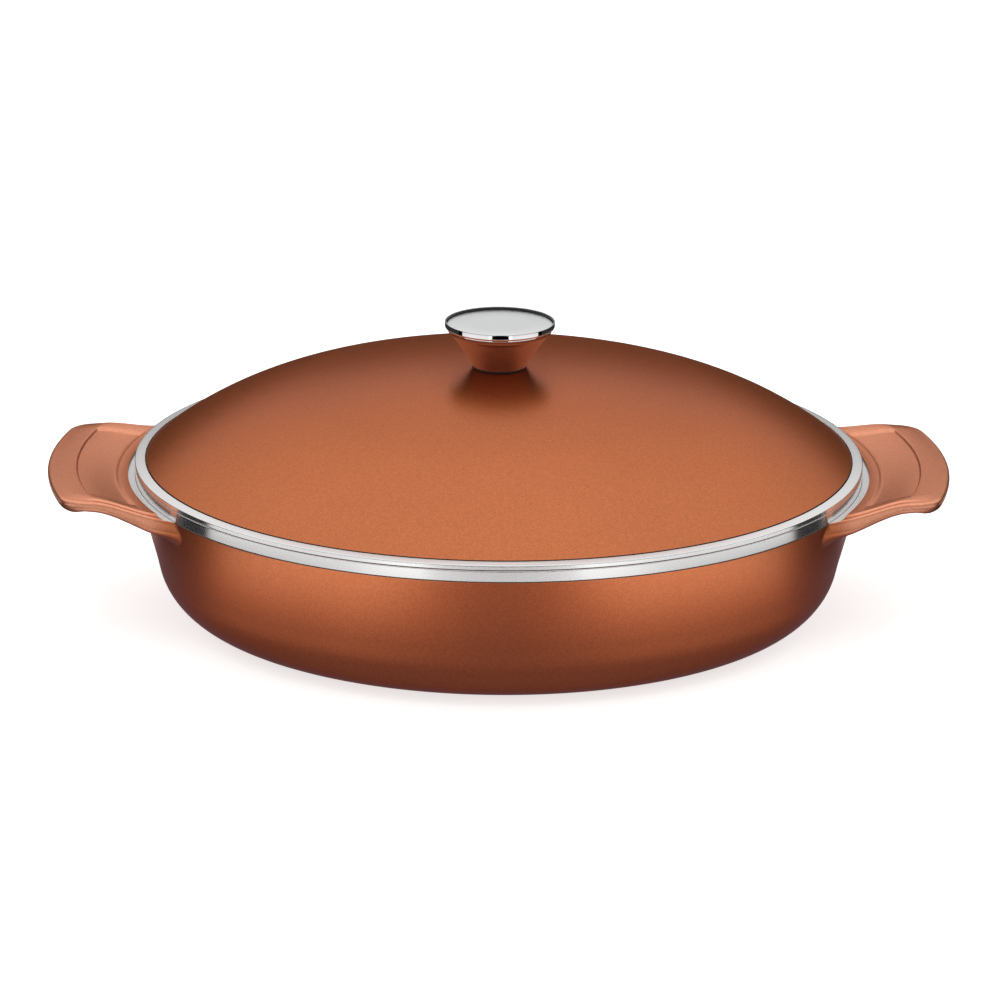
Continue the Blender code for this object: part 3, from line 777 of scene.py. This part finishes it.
FLARE = curve_centre(RIM_RADIUS - FLARE_DEPTH + FLARE_RADIUS, SIDE_DISTANCE + FLARE_RADIUS)
CORNER = curve_centre(HANDLE_REACH - HANDLE_CORNER, SIDE_DISTANCE - HANDLE_CORNER)
FLARE_END = math.hypot(along_side(FLARE), SIDE_DISTANCE)
CORNER_START = math.hypot(along_side(CORNER), SIDE_DISTANCE)
print("Straight side from radius", round(FLARE_END * 1000, 1), "to", round(CORNER_START * 1000, 1))

# %% Distances to the handle's outline
MOST_STRETCH = 2.5  # keeps the points apart where the outline runs nearly along a circle


def crossing(radius, centre, size):
    """Angle at the pan's axis from a round curve's centre to where a circle crosses the curve."""
    distance = math.hypot(*centre)
    cosine = (radius**2 + distance**2 - size**2) / (2 * radius * distance)
    return math.acos(min(max(cosine, -1), 1))


def edge_angle(radius):
    """Angle from the handle's middle to its edge, this far from the pan's axis."""
    if radius < FLARE_END:
        return math.atan2(FLARE[1], FLARE[0]) - crossing(radius, FLARE, FLARE_RADIUS)
    if radius > CORNER_START:
        return math.atan2(CORNER[1], CORNER[0]) + crossing(radius, CORNER, HANDLE_CORNER)
    return math.pi / 2 - HANDLE_SPLAY - math.acos(SIDE_DISTANCE / radius)


def edge_stretch(radius):
    """How much further a step along a circle is than the same step square to the edge."""
    step = 0.5 * MM
    turn = (edge_angle(radius) - edge_angle(radius - step)) * radius / step
    return min(math.hypot(1, turn), MOST_STRETCH)


def edge_inset(x, y):
    """How far a point lies inside the outline."""
    y = abs(y)
    from_corner = (x - CORNER[0], y - CORNER[1])
    beyond_side = along_side(from_corner) > 0
    beyond_end = CORNER[0] * from_corner[1] - CORNER[1] * from_corner[0] > 0
    if beyond_side and beyond_end:
        return max(HANDLE_CORNER - math.hypot(*from_corner), 0)
    if along_side((x, y)) > along_side(FLARE):
        to_side = SIDE_DISTANCE - (x * OUT_OF_SIDE[0] + y * OUT_OF_SIDE[1])
    else:
        to_side = math.hypot(x - FLARE[0], y - FLARE[1]) - FLARE_RADIUS
    return max(min(to_side, HANDLE_REACH - math.hypot(x, y)), 0)


print("Half angle of the handle at 180 mm:", round(math.degrees(edge_angle(180 * MM)), 1))

# %% [markdown]
# The top rises from the bare shelf beside the rim to the thumb's pad at the end. Its border carries a fine
# crest along both sides, which catches a line of light, and it falls softly towards the round end. The
# sunk panel lands in a crisp line at its outer end and along its sides.

# %% The handle's top
SHELF_RADIUS = 169.4 * MM
SHELF_DEPTH = 1.0 * MM
UNDER_SHELF = 0.01 * MM  # keeps the handle's top just under the bowl's own shelf inside the rim
HANDLE_RISE = 4.2 * MM
EDGE_TOP_RADIUS = 1.5 * MM
BORDER_WIDTH = 9.4 * MM
BORDER_DROP = 0.8 * MM
BORDER_CREST = 4.7 * MM
CREST_WIDTH = 1.3 * MM
CREST_END = (190 * MM, 198 * MM)
SHOULDER_RISE = 0.12
PANEL_DEPTH = 1.0 * MM
PANEL_SLOPE = 4.0 * MM
PANEL_STEP = 0.8 * MM
PANEL_ROOT_SLOPE = 1.6 * MM
PANEL_START = 173.3 * MM
PANEL_END = 192.9 * MM


def crisp(value, start, end):
    """Like ease, but it lands at an angle, so that the foot of a slope shows as a line."""
    share = min(max((value - start) / (end - start), 0), 1)
    return share * share * (2 - share)


def rounding(inset, radius):
    """How far a rounded edge lies back from the flat, this far in from the edge."""
    away = max(radius - inset, 0)
    return radius - math.sqrt(radius**2 - away**2)


def crest(radius):
    """Height of the handle's top without its border, panel and edges."""
    return SHELF_HEIGHT + SHELF_DEPTH + HANDLE_RISE * ease(radius, SHELF_RADIUS, PANEL_END)


def border_drop(radius, inset):
    """How far the border lies lower, with a crest along the handle's sides but not round its end."""
    soft = 1 - ease(inset, 0, BORDER_WIDTH)
    crested = 1 - ease(inset, BORDER_CREST - CREST_WIDTH, BORDER_CREST)
    crested -= SHOULDER_RISE * (1 - ease(inset, 0, BORDER_CREST))
    at_end = ease(radius, *CREST_END)
    return BORDER_DROP * (crested * (1 - at_end) + soft * at_end)


def top_height(radius, inset):
    sunk = crisp(inset, BORDER_WIDTH, BORDER_WIDTH + PANEL_SLOPE)
    sunk *= crisp(radius, PANEL_START, PANEL_START + PANEL_ROOT_SLOPE)
    sunk *= crisp(PANEL_END - radius, 0, PANEL_STEP)
    drop = border_drop(radius, inset)
    height = crest(radius) - drop - PANEL_DEPTH * sunk - rounding(inset, EDGE_TOP_RADIUS)
    if radius <= SHELF_RADIUS:
        return min(height, SHELF_HEIGHT - UNDER_SHELF)
    return height


print("The handle's end stands", round((crest(HANDLE_REACH) - RIM_TOP) * 1000, 1), "mm above the rim")

# %% The handle's plain underside
PLATE_THICKNESS = 5.7 * MM
ROOT_THICKENING = 5.3 * MM
ROOT_CURVE = 2.2
END_BEAD = 1.5 * MM
END_BEAD_WIDTH = 9.2 * MM
BEAD_START = HANDLE_REACH - END_BEAD_WIDTH
BEAD_MIDDLE = HANDLE_REACH - END_BEAD_WIDTH / 2


def plain_underside(radius):
    to_root = max(BEAD_START - radius, 0) / (BEAD_START - RIM_RADIUS)
    at_end = ease(radius, BEAD_START, BEAD_MIDDLE)
    return crest(radius) - PLATE_THICKNESS - ROOT_THICKENING * to_root**ROOT_CURVE - END_BEAD * at_end


thickness = crest(190 * MM) - plain_underside(190 * MM)
print("Plate is", round(thickness * 1000, 1), "mm thick under the panel's end")

# %% [markdown]
# The underside doesn't meet the wall in a sharp corner. A fillet of a few millimetres runs it down into
# the wall, as on every casting. It is part of a circle that touches the underside and a line just inside
# the wall, and its centre is found by trying radii until both distances agree.

# %% The fillet under the handle's root
ROOT_FILLET = 6.0 * MM
ROOT_SINK = 0.15 * MM
ROOT_SOFTENING = 10.0 * MM
ROOT_EDGE_RADIUS = 7.0 * MM
EDGE_UNDER_RADIUS = 2.6 * MM
END_UNDER_RADIUS = 4.6 * MM


def fillet_centre(touch):
    """Centre of a fillet that touches the underside at this radius."""
    step = 0.1 * MM
    slope = (plain_underside(touch + step) - plain_underside(touch - step)) / (2 * step)
    length = math.hypot(1, slope)
    return touch + ROOT_FILLET * slope / length, plain_underside(touch) - ROOT_FILLET / length


def find_fillet():
    low, high = RIM_RADIUS - 4 * MM, RIM_RADIUS + 12 * MM
    for _ in range(40):
        touch = (low + high) / 2
        centre = fillet_centre(touch)
        to_wall = (centre[0] - outer_radius(centre[1]) + ROOT_SINK) * math.cos(WALL_TAPER)
        if to_wall > ROOT_FILLET:
            high = touch
        else:
            low = touch
    return touch, centre


FILLET_TOUCH, FILLET_CENTRE = find_fillet()
FILLET_START = FILLET_CENTRE[0] - ROOT_FILLET * math.cos(WALL_TAPER)


def under_height(radius, inset):
    height = plain_underside(radius)
    if radius < FILLET_TOUCH:
        height = FILLET_CENTRE[1] + math.sqrt(ROOT_FILLET**2 - (FILLET_CENTRE[0] - radius) ** 2)
    at_end = ease(radius, BEAD_START, BEAD_MIDDLE)
    at_root = 1 - ease(radius, RIM_RADIUS - WALL_THICKNESS, RIM_RADIUS + ROOT_SOFTENING)
    edge_radius = EDGE_UNDER_RADIUS + (END_UNDER_RADIUS - EDGE_UNDER_RADIUS) * at_end
    edge_radius += (ROOT_EDGE_RADIUS - EDGE_UNDER_RADIUS) * at_root
    return height + rounding(inset, edge_radius)


print("Fillet from radius", round(FILLET_START * 1000, 2), "to", round(FILLET_TOUCH * 1000, 2))

# %% [markdown]
# The handle's skin is laid over sections, each a part of a circle round the pan's axis. The sections and
# the points across them crowd where the surface turns: at the edges, the shelf, the crest and the panel.

# %% Cut the handle into sections
EDGE_INSETS = [0, 0.04, 0.16, 0.35, 0.6, 0.9, 1.2, 1.6, 2.2, 2.8, 3.3, 3.6, 3.9, 4.2, 4.5, 4.8, 6.2, 9.4]
TIP_INSETS = EDGE_INSETS + [11, 12]
SHELF_STEP = 0.02 * MM  # width of the step up from the shelf


def section_radii():
    """Distances from the pan's axis at which the handle is cut into sections."""
    fillet_end = math.asin((FILLET_CENTRE[0] - FILLET_TOUCH) / ROOT_FILLET)
    turns = np.linspace(math.pi / 2 - WALL_TAPER, fillet_end, 9)
    radii = [FILLET_CENTRE[0] - ROOT_FILLET * math.sin(turn) for turn in turns]
    stops = [(RIM_RADIUS, 1), (SHELF_RADIUS, 3), (SHELF_RADIUS + SHELF_STEP, 1), (PANEL_START, 4)]
    stops += [(PANEL_START + PANEL_ROOT_SLOPE, 6), (PANEL_END - PANEL_STEP, 12), (PANEL_END, 6)]
    radii = [radius for radius in radii if radius < RIM_RADIUS]
    for stop, steps in stops:
        radii += list(np.linspace(radii[-1], stop, steps + 1)[1:])
    return radii + [HANDLE_REACH - inset * MM for inset in sorted(TIP_INSETS, reverse=True)]


def section_angles(radius):
    """Angles of the points across one section, from one edge to the other."""
    insets = [inset * MM for inset in EDGE_INSETS]
    insets += [BORDER_WIDTH + PANEL_SLOPE * share / 6 for share in range(1, 7)]
    stretch = edge_stretch(radius)
    outer = [edge_angle(radius) - inset * stretch / radius for inset in insets]
    half = list(np.linspace(0, outer[-1], 12)[:-1]) + outer[::-1]
    return [-angle for angle in half[:0:-1]] + half


RADII = section_radii()
print("Handle:", len(RADII), "sections of", len(section_angles(RADII[0])), "points")

# %% Skin the handle
def handle_rows(bm):
    """The points of the top and of the underside, section by section."""
    tops, bottoms = [], []
    for radius in RADII:
        top, bottom = [], []
        for angle in section_angles(radius):
            x, y = radius * math.cos(angle), radius * math.sin(angle)
            inset = edge_inset(x, y)
            top.append(bm.verts.new((x, y, top_height(radius, inset))))
            bottom.append(bm.verts.new((x, y, under_height(radius, inset))))
        tops.append(top)
        bottoms.append(bottom)
    return tops, bottoms


def on_shelf(point):
    """Whether a point lies where the lathe has cut the coating away."""
    turned = math.hypot(point.x, point.y) < SHELF_RADIUS + SHELF_STEP / 2
    return turned and abs(point.z - SHELF_HEIGHT) < 2 * UNDER_SHELF


def handle_mesh():
    bm = bmesh.new()
    tops, bottoms = handle_rows(bm)
    last = len(tops[0]) - 1
    step = RADII.index(SHELF_RADIUS)
    for i in range(len(tops) - 1):
        for j in range(last):
            top = bm.faces.new((tops[i][j], tops[i + 1][j], tops[i + 1][j + 1], tops[i][j + 1]))
            # Slot 2, the painted shade line, goes on the step up from the shelf, and slot 1 on the bare
            # shelf
            top.material_index = 2 if i == step else int(all(on_shelf(vertex.co) for vertex in top.verts))
            bm.faces.new((bottoms[i][j], bottoms[i][j + 1], bottoms[i + 1][j + 1], bottoms[i + 1][j]))
        for j in (0, last):
            bm.faces.new((tops[i][j], bottoms[i][j], bottoms[i + 1][j], tops[i + 1][j]))
    for i in (0, len(tops) - 1):
        for j in range(last):
            bm.faces.new((tops[i][j], tops[i][j + 1], bottoms[i][j + 1], bottoms[i][j]))
    return mesh_from(bm, "wing_handle", copper, bare_top, painted_shade_line)


handle = handle_mesh()
print("Handle:", len(handle.polygons), "faces")

# %% [markdown]
# ## One casting
#
# Bowl and handles are one piece of metal, so their meshes become one. A Boolean union finds the line
# where the handle's skin leaves the wall and drops what lies inside. Each face keeps its own finish. Two
# meshes pushed into each other would look alike from afar, but not where the handle flares into the wall.

# %% Join bowl and handles
CAST_CREASE = 48  # degrees


def combine(mesh, helpers, operation, crease, **settings):
    """One mesh joined with other objects or cut by them. The objects are used up."""
    blank = add_to_scene("blank", mesh)
    for helper in helpers:
        modifier = blank.modifiers.new(operation.lower(), "BOOLEAN")
        modifier.operation, modifier.solver, modifier.object = operation, "EXACT", helper
        for name, value in settings.items():
            setattr(modifier, name, value)
    bpy.context.view_layer.update()
    graph = bpy.context.evaluated_depsgraph_get()
    combined = bpy.data.meshes.new_from_object(blank.evaluated_get(graph))
    for used in (blank, *helpers):
        bpy.data.objects.remove(used)
    shade(combined, crease)
    return combined


handles = [add_to_scene("handle_blank", handle) for _ in range(2)]
handles[1].rotation_euler.z = math.pi
casting = combine(bowl, handles, "UNION", CAST_CREASE, material_mode="TRANSFER")
add_piece("pan_body", casting, "pan", "copper_coating", "pan_casting")

# %% [markdown]
# ## The lid
#
# The lid is a thin dome, flatter in the middle and rounder at its shoulder, inside a bare turned ring.
# Its foot shows a fine groove where the turning tool stopped. Underneath, a lip reaches into the
# bowl and keeps the lid centred. The dome could be a flattened sphere, but its real section is two arcs
# that meet without a kink. The same two arcs, a wall's thickness smaller, make its inside.

# %% Curves of the dome
LID_SEAT = RIM_TOP + 0.3 * MM
LID_RADIUS = 166.2 * MM
LID_EDGE_HEIGHT = 2.1 * MM
LID_EDGE_BREAK = 0.4 * MM
LID_THICKNESS = 3.2 * MM
DOME_FOOT = (161.0 * MM, 2.9 * MM)
DOME_FOOT_ANGLE = math.radians(38.3)
DOME_FOOT_STEP = 0.35 * MM
FOOT_GROOVE = 0.5 * MM
DOME_SHOULDER = 166.0 * MM
DOME_CROWN = 440.0 * MM
LIP_DEPTH = 4.6 * MM
LIP_THICKNESS = 3.3 * MM
LIP_CHAMFER = 0.8 * MM
LIP_CLEARANCE = 0.5 * MM
KNOB_FLAT = 13.2 * MM
SCREW_FLAT = 9.5 * MM
HOLE_RADIUS = 2.8 * MM


def dome_points(depth, inner, outer, crown_steps, shoulder_steps):
    """The dome's section from an inner radius to an outer one, this deep under its outside."""
    shoulder = (
        DOME_FOOT[0] - DOME_SHOULDER * math.sin(DOME_FOOT_ANGLE),
        DOME_FOOT[1] - DOME_SHOULDER * math.cos(DOME_FOOT_ANGLE),
    )
    meeting = math.asin(shoulder[0] / (DOME_CROWN - DOME_SHOULDER))
    crown = (0, shoulder[1] - (DOME_CROWN - DOME_SHOULDER) * math.cos(meeting))
    start = math.asin(inner / (DOME_CROWN - depth))
    end = math.asin((outer - shoulder[0]) / (DOME_SHOULDER - depth))
    points = arc(crown, DOME_CROWN - depth, start, meeting, crown_steps)
    return points + arc(shoulder, DOME_SHOULDER - depth, meeting, end, shoulder_steps)[1:]


dome = dome_points(0, KNOB_FLAT, DOME_FOOT[0], 16, 36)
print("The knob stands", round(dome[0][1] * 1000, 1), "mm above the lid's seat")

# %% Turn the lid
def lid_mesh():
    outside = [(HOLE_RADIUS, dome[0][1])] + dome
    foot, face = DOME_FOOT[0] + FOOT_GROOVE / 5, DOME_FOOT[1] - DOME_FOOT_STEP
    groove = [dome[-1], (foot, face - FOOT_GROOVE), (foot + 0.8 * FOOT_GROOVE, face - FOOT_GROOVE)]
    groove.append((foot + FOOT_GROOVE, face))
    top = straight(groove[-1], (LID_RADIUS - LID_EDGE_BREAK, LID_EDGE_HEIGHT), 3)
    ring = [top[-1]]
    ring += round_edge(LID_RADIUS, LID_EDGE_HEIGHT, LID_EDGE_BREAK)[1:]
    ring.append((LID_RADIUS, LID_EDGE_HEIGHT - 1.6 * LID_EDGE_BREAK))
    ring += [(LID_RADIUS, LID_EDGE_BREAK / 2), (LID_RADIUS - LID_EDGE_BREAK / 2, 0)]
    lip = wall_radius(RIM_TOP - LIP_DEPTH, WALL_THICKNESS) - LIP_CLEARANCE
    underside = [ring[-1], (lip, 0), (lip, LIP_CHAMFER - LIP_DEPTH), (lip - LIP_CHAMFER, -LIP_DEPTH)]
    underside.append((lip - LIP_THICKNESS, -LIP_DEPTH))
    underside += dome_points(LID_THICKNESS, SCREW_FLAT, lip - LIP_THICKNESS, 12, 24)[::-1]
    underside.append((HOLE_RADIUS, underside[-1][1]))
    runs = []
    # The groove at the dome's foot gets the painted shade line
    parts = ((copper, outside), (painted_shade_line, groove), (bare_top, top), (bare, ring), (copper, underside))
    for finish, run in parts:
        runs.append((finish, [(radius, height + LID_SEAT) for radius, height in run]))
    return turn_profile("lid", runs, PAN_FACETS, closed=True)


add_piece("lid_body", lid_mesh(), "lid", "lid_coating", "lid_casting")

# %% [markdown]
# ## The knob
#
# The knob is a thin shell of polished metal over a plastic core. From the top down it has a thin lip,
# a bright band, a groove, a soft rib and a hollow-sided cone. It could be a cone with bevels, but the
# turned profile can have close points at each small edge, and those edges catch the light. Its heights
# come from the frame, so that it stays where the construction model has it.

# %% The knob's sizes and its cone
KNOB_RADIUS = 25.0 * MM
KNOB_FOOT_RADIUS = 12.3 * MM
KNOB_BAND = 3.2 * MM
KNOB_BAND_TAPER = 0.7 * MM
BAND_STRAIGHT = 0.72  # share of the band that is upright
KNOB_SKIRT = 0.8 * MM
KNOB_GROOVE = 0.5 * MM
KNOB_RIB = 2.5 * MM
KNOB_RIB_TAPER = 1.4 * MM
RIB_SWELL = 0.35 * MM
RIB_EDGE = 0.3 * MM
CONE_HOLLOW = 0.4 * MM
KNOB_WALL = 1.2 * MM
LIP_WALL = 0.65 * MM
KNOB_FACETS = 160
FIT_GAP = 0.3 * MM


def heights_of(node):
    """Lowest and highest point of a node of the frame."""
    return [float(corner[2]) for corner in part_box(node)]


knob_low, knob_high = heights_of("knob_shell")
disc_low, disc_high = heights_of("knob_top_disc")
CONE_TOP = knob_high - KNOB_BAND - KNOB_GROOVE - KNOB_RIB
CONE_FOOT = knob_low - KNOB_SKIRT


def cone_points(inset, steps):
    """Points down the cone's hollow side, this far inside it."""
    top = KNOB_RADIUS - KNOB_BAND_TAPER - KNOB_GROOVE - KNOB_RIB_TAPER
    points = []
    for share in np.linspace(0, 1, steps + 1):
        hollow = CONE_HOLLOW * 4 * share * (1 - share)
        radius = top + (KNOB_FOOT_RADIUS - top) * share - hollow - inset
        points.append((radius, CONE_TOP + (CONE_FOOT - CONE_TOP) * share))
    return points


print("Cone:", round((CONE_TOP - CONE_FOOT) * 1000, 1), "mm high")

# %% Turn the knob
def band_and_groove():
    """From the round lip down the band, into the groove and out to the rib's edge."""
    half = LIP_WALL / 2
    points = arc((KNOB_RADIUS - half, knob_high - half), half, -math.pi / 2, math.pi / 2, 10)
    for share in np.linspace(0.08, 1, 14):
        inwards = max(share - BAND_STRAIGHT, 0) / (1 - BAND_STRAIGHT)
        drop = half + (KNOB_BAND - half) * share
        points.append((KNOB_RADIUS - KNOB_BAND_TAPER * inwards**2, knob_high - drop))
    groove = KNOB_RADIUS - KNOB_BAND_TAPER - 1.4 * KNOB_GROOVE
    groove_top = knob_high - KNOB_BAND
    points.append((groove, groove_top - 0.15 * KNOB_GROOVE))
    points.append((groove, groove_top - 0.8 * KNOB_GROOVE))
    rib = (groove + 0.4 * KNOB_GROOVE - RIB_EDGE, groove_top - KNOB_GROOVE - RIB_EDGE)
    return points + arc(rib, RIB_EDGE, 0, math.pi / 3, 3)


def rib_points(start, end):
    """The rib's soft swelling side."""
    points = []
    for share in np.linspace(0.15, 0.9, 8):
        swell = RIB_SWELL * math.sin(math.pi * share)
        radius = start[0] + (end[0] - start[0]) * share + swell
        points.append((radius, start[1] + (end[1] - start[1]) * share))
    return points


def knob_mesh():
    cone = cone_points(0, 20)
    band = band_and_groove()
    cone = [band[-1]] + rib_points(band[-1], cone[0]) + cone
    rib_top = CONE_TOP + KNOB_RIB
    core = KNOB_RADIUS - KNOB_BAND_TAPER - KNOB_GROOVE - KNOB_WALL
    seat = disc_low - FIT_GAP
    bore = KNOB_RADIUS - LIP_WALL
    inside = cone_points(KNOB_WALL, 6)[::-1] + [(core, rib_top), (core, seat), (bore, seat)]
    # The cone and the shell's inside get the painted-shade copy of the knob's metal
    # The lip's inner wall gets the black plastic finish, which makes the recess round the disc dark
    runs = [(polished, band), (cone_painted_shade, cone + inside), (plastic, [(bore, seat), band[0]])]
    return turn_profile("knob", runs, KNOB_FACETS)


add_piece("knob_metal", knob_mesh(), "lid", "polished_metal", "knob_shell")

# %% [markdown]
# ## Disc and gasket
#
# A satin disc lies sunk inside the knob's lip, and a thin black gasket shows under the cone and keeps the
# metal off the coating. Both are turned too, with a small rounding at each edge instead of a Bevel
# modifier, so that the rounding keeps its size.

# %% Turn the disc and the gasket
DISC_RADIUS = KNOB_RADIUS - LIP_WALL - FIT_GAP
DISC_EDGE = 0.2 * MM
GASKET_RADIUS = 12.4 * MM
GASKET_EDGE = 0.3 * MM


def rounded_ring(outer, low, high, edge):
    """Section of a flat ring round the screw, with rounded outer edges."""
    points = [(HOLE_RADIUS, low), (HOLE_RADIUS, high)]
    points += round_edge(outer, high, edge)
    return points + arc((outer - edge, low + edge), edge, math.pi / 2, math.pi, 4)


def disc_mesh():
    points = [(0, disc_high), (DISC_RADIUS / 2, disc_high)]
    points += round_edge(DISC_RADIUS, disc_high, DISC_EDGE)
    points += [(DISC_RADIUS, disc_low), (0, disc_low)]
    return turn_profile("disc", [(satin, points)], KNOB_FACETS)


def gasket_mesh():
    low, _ = heights_of("knob_foot_gasket")
    points = rounded_ring(GASKET_RADIUS, low - 0.9 * FIT_GAP, CONE_FOOT - 0.02 * MM, GASKET_EDGE)
    return turn_profile("gasket", [(silicone, points)], KNOB_FACETS, closed=True)


add_piece("knob_disc", disc_mesh(), "lid", "satin_metal", "knob_top_disc")
add_piece("knob_gasket", gasket_mesh(), "lid", "dark_silicone", "knob_foot_gasket")

# %% [markdown]
# ## The screw under the lid
#
# From below, the lid shows the head of the screw that holds the knob, on a steel washer and a silicone
# seal. The head is turned like the other pieces, with a cross cut into it by a Boolean difference. The
# thread is drawn as close rings, which is enough for a part that the knob hides.

# %% Turn the screw
SCREW_RADIUS = 2.5 * MM
THREAD_DEPTH = 0.25 * MM
THREAD_PITCH = 0.8 * MM
HEAD_RADIUS = 4.75 * MM
HEAD_HEIGHT = 3.0 * MM
HEAD_EDGE = 0.3 * MM
DRIVE_LENGTH = 5.4 * MM
DRIVE_WIDTH = 1.2 * MM
DRIVE_DEPTH = 1.7 * MM
DRIVE_DRAW = 0.7
HEAD_CROWN = 0.55  # share of the head's height that is rounded
HEAD_DRAW = 0.42  # share of its radius that the rounding takes in
FASTENER_FACETS = 96

screw_low, screw_high = heights_of("knob_screw")
head_top = screw_low + HEAD_HEIGHT


def drive_cutter():
    """A cross with sides that draw in towards its tip, as a screwdriver's do."""
    bm = bmesh.new()
    for length, width in ((DRIVE_LENGTH, DRIVE_WIDTH), (DRIVE_WIDTH, DRIVE_LENGTH)):
        made = bmesh.ops.create_cube(bm, size=1)["verts"]
        bmesh.ops.scale(bm, vec=(length, width, 2 * DRIVE_DEPTH), verts=made)
        for vert in made:
            if vert.co.z > 0:
                vert.co.x *= DRIVE_DRAW
                vert.co.y *= DRIVE_DRAW
    cutter = add_to_scene("drive", mesh_from(bm, "drive"))
    cutter.location.z = screw_low
    return cutter


def screw_profile():
    points = [(0, screw_high), (SCREW_RADIUS - 2 * THREAD_DEPTH, screw_high)]
    height = screw_high - THREAD_PITCH / 2
    while height > head_top + THREAD_PITCH:
        points.append((SCREW_RADIUS, height))
        points.append((SCREW_RADIUS - THREAD_DEPTH, height - THREAD_PITCH / 2))
        height -= THREAD_PITCH
    points += [(SCREW_RADIUS, head_top), (HEAD_RADIUS - HEAD_EDGE, head_top)]
    points += round_edge(HEAD_RADIUS, head_top, HEAD_EDGE)[1:]
    crown = HEAD_HEIGHT * HEAD_CROWN
    for turn in np.linspace(0, math.pi / 2, 9):
        radius = HEAD_RADIUS * (1 - HEAD_DRAW * (1 - math.cos(turn)))
        points.append((radius, screw_low + crown * (1 - math.sin(turn))))
    return points + [(0, screw_low)]


print("Screw:", round((screw_high - screw_low) * 1000, 1), "mm long")

# %% Cut the cross and add the screw
SCREW_CREASE = 30  # degrees

uncut = turn_profile("screw", [(steel, screw_profile())], FASTENER_FACETS)
screw = combine(uncut, [drive_cutter()], "DIFFERENCE", SCREW_CREASE, use_self=True)
add_piece("lid_screw", screw, "lid", "plain_steel", "knob_screw")

# %% [markdown]
# ## Washer and seal
#
# A steel washer spreads the screw's pull over the thin lid, and a silicone seal above it keeps steam out
# of the hole. They are flat rings, so one call with different numbers makes both.

# %% Add washer and seal
WASHER_RADIUS = 8.0 * MM
WASHER_EDGE = 0.15 * MM
SEAL_RADIUS = 7.5 * MM
SEAL_EDGE = 0.4 * MM


def flat_ring(name, node, outer, edge, finish, slot):
    """A ring with rounded edges, between the heights that the frame gives for its node."""
    points = rounded_ring(outer, *heights_of(node), edge)
    mesh = turn_profile(name, [(finish, points)], FASTENER_FACETS, closed=True)
    add_piece(name, mesh, "lid", slot, node)


flat_ring("washer", "screw_washer", WASHER_RADIUS, WASHER_EDGE, steel, "plain_steel")
flat_ring("seal", "screw_seal", SEAL_RADIUS, SEAL_EDGE, silicone, "dark_silicone")

# %% [markdown]
# ## Hidden pieces
#
# The plastic core and the brass insert lie inside the knob. Their construction shapes are right as they
# are, so they stay and only get their finishes.

# %% Finish the hidden pieces
for node, finish in (("knob_core", plastic), ("knob_insert", brass)):
    for material_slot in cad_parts[node].material_slots:
        material_slot.material = finish
    print(node, "is", finish.name)
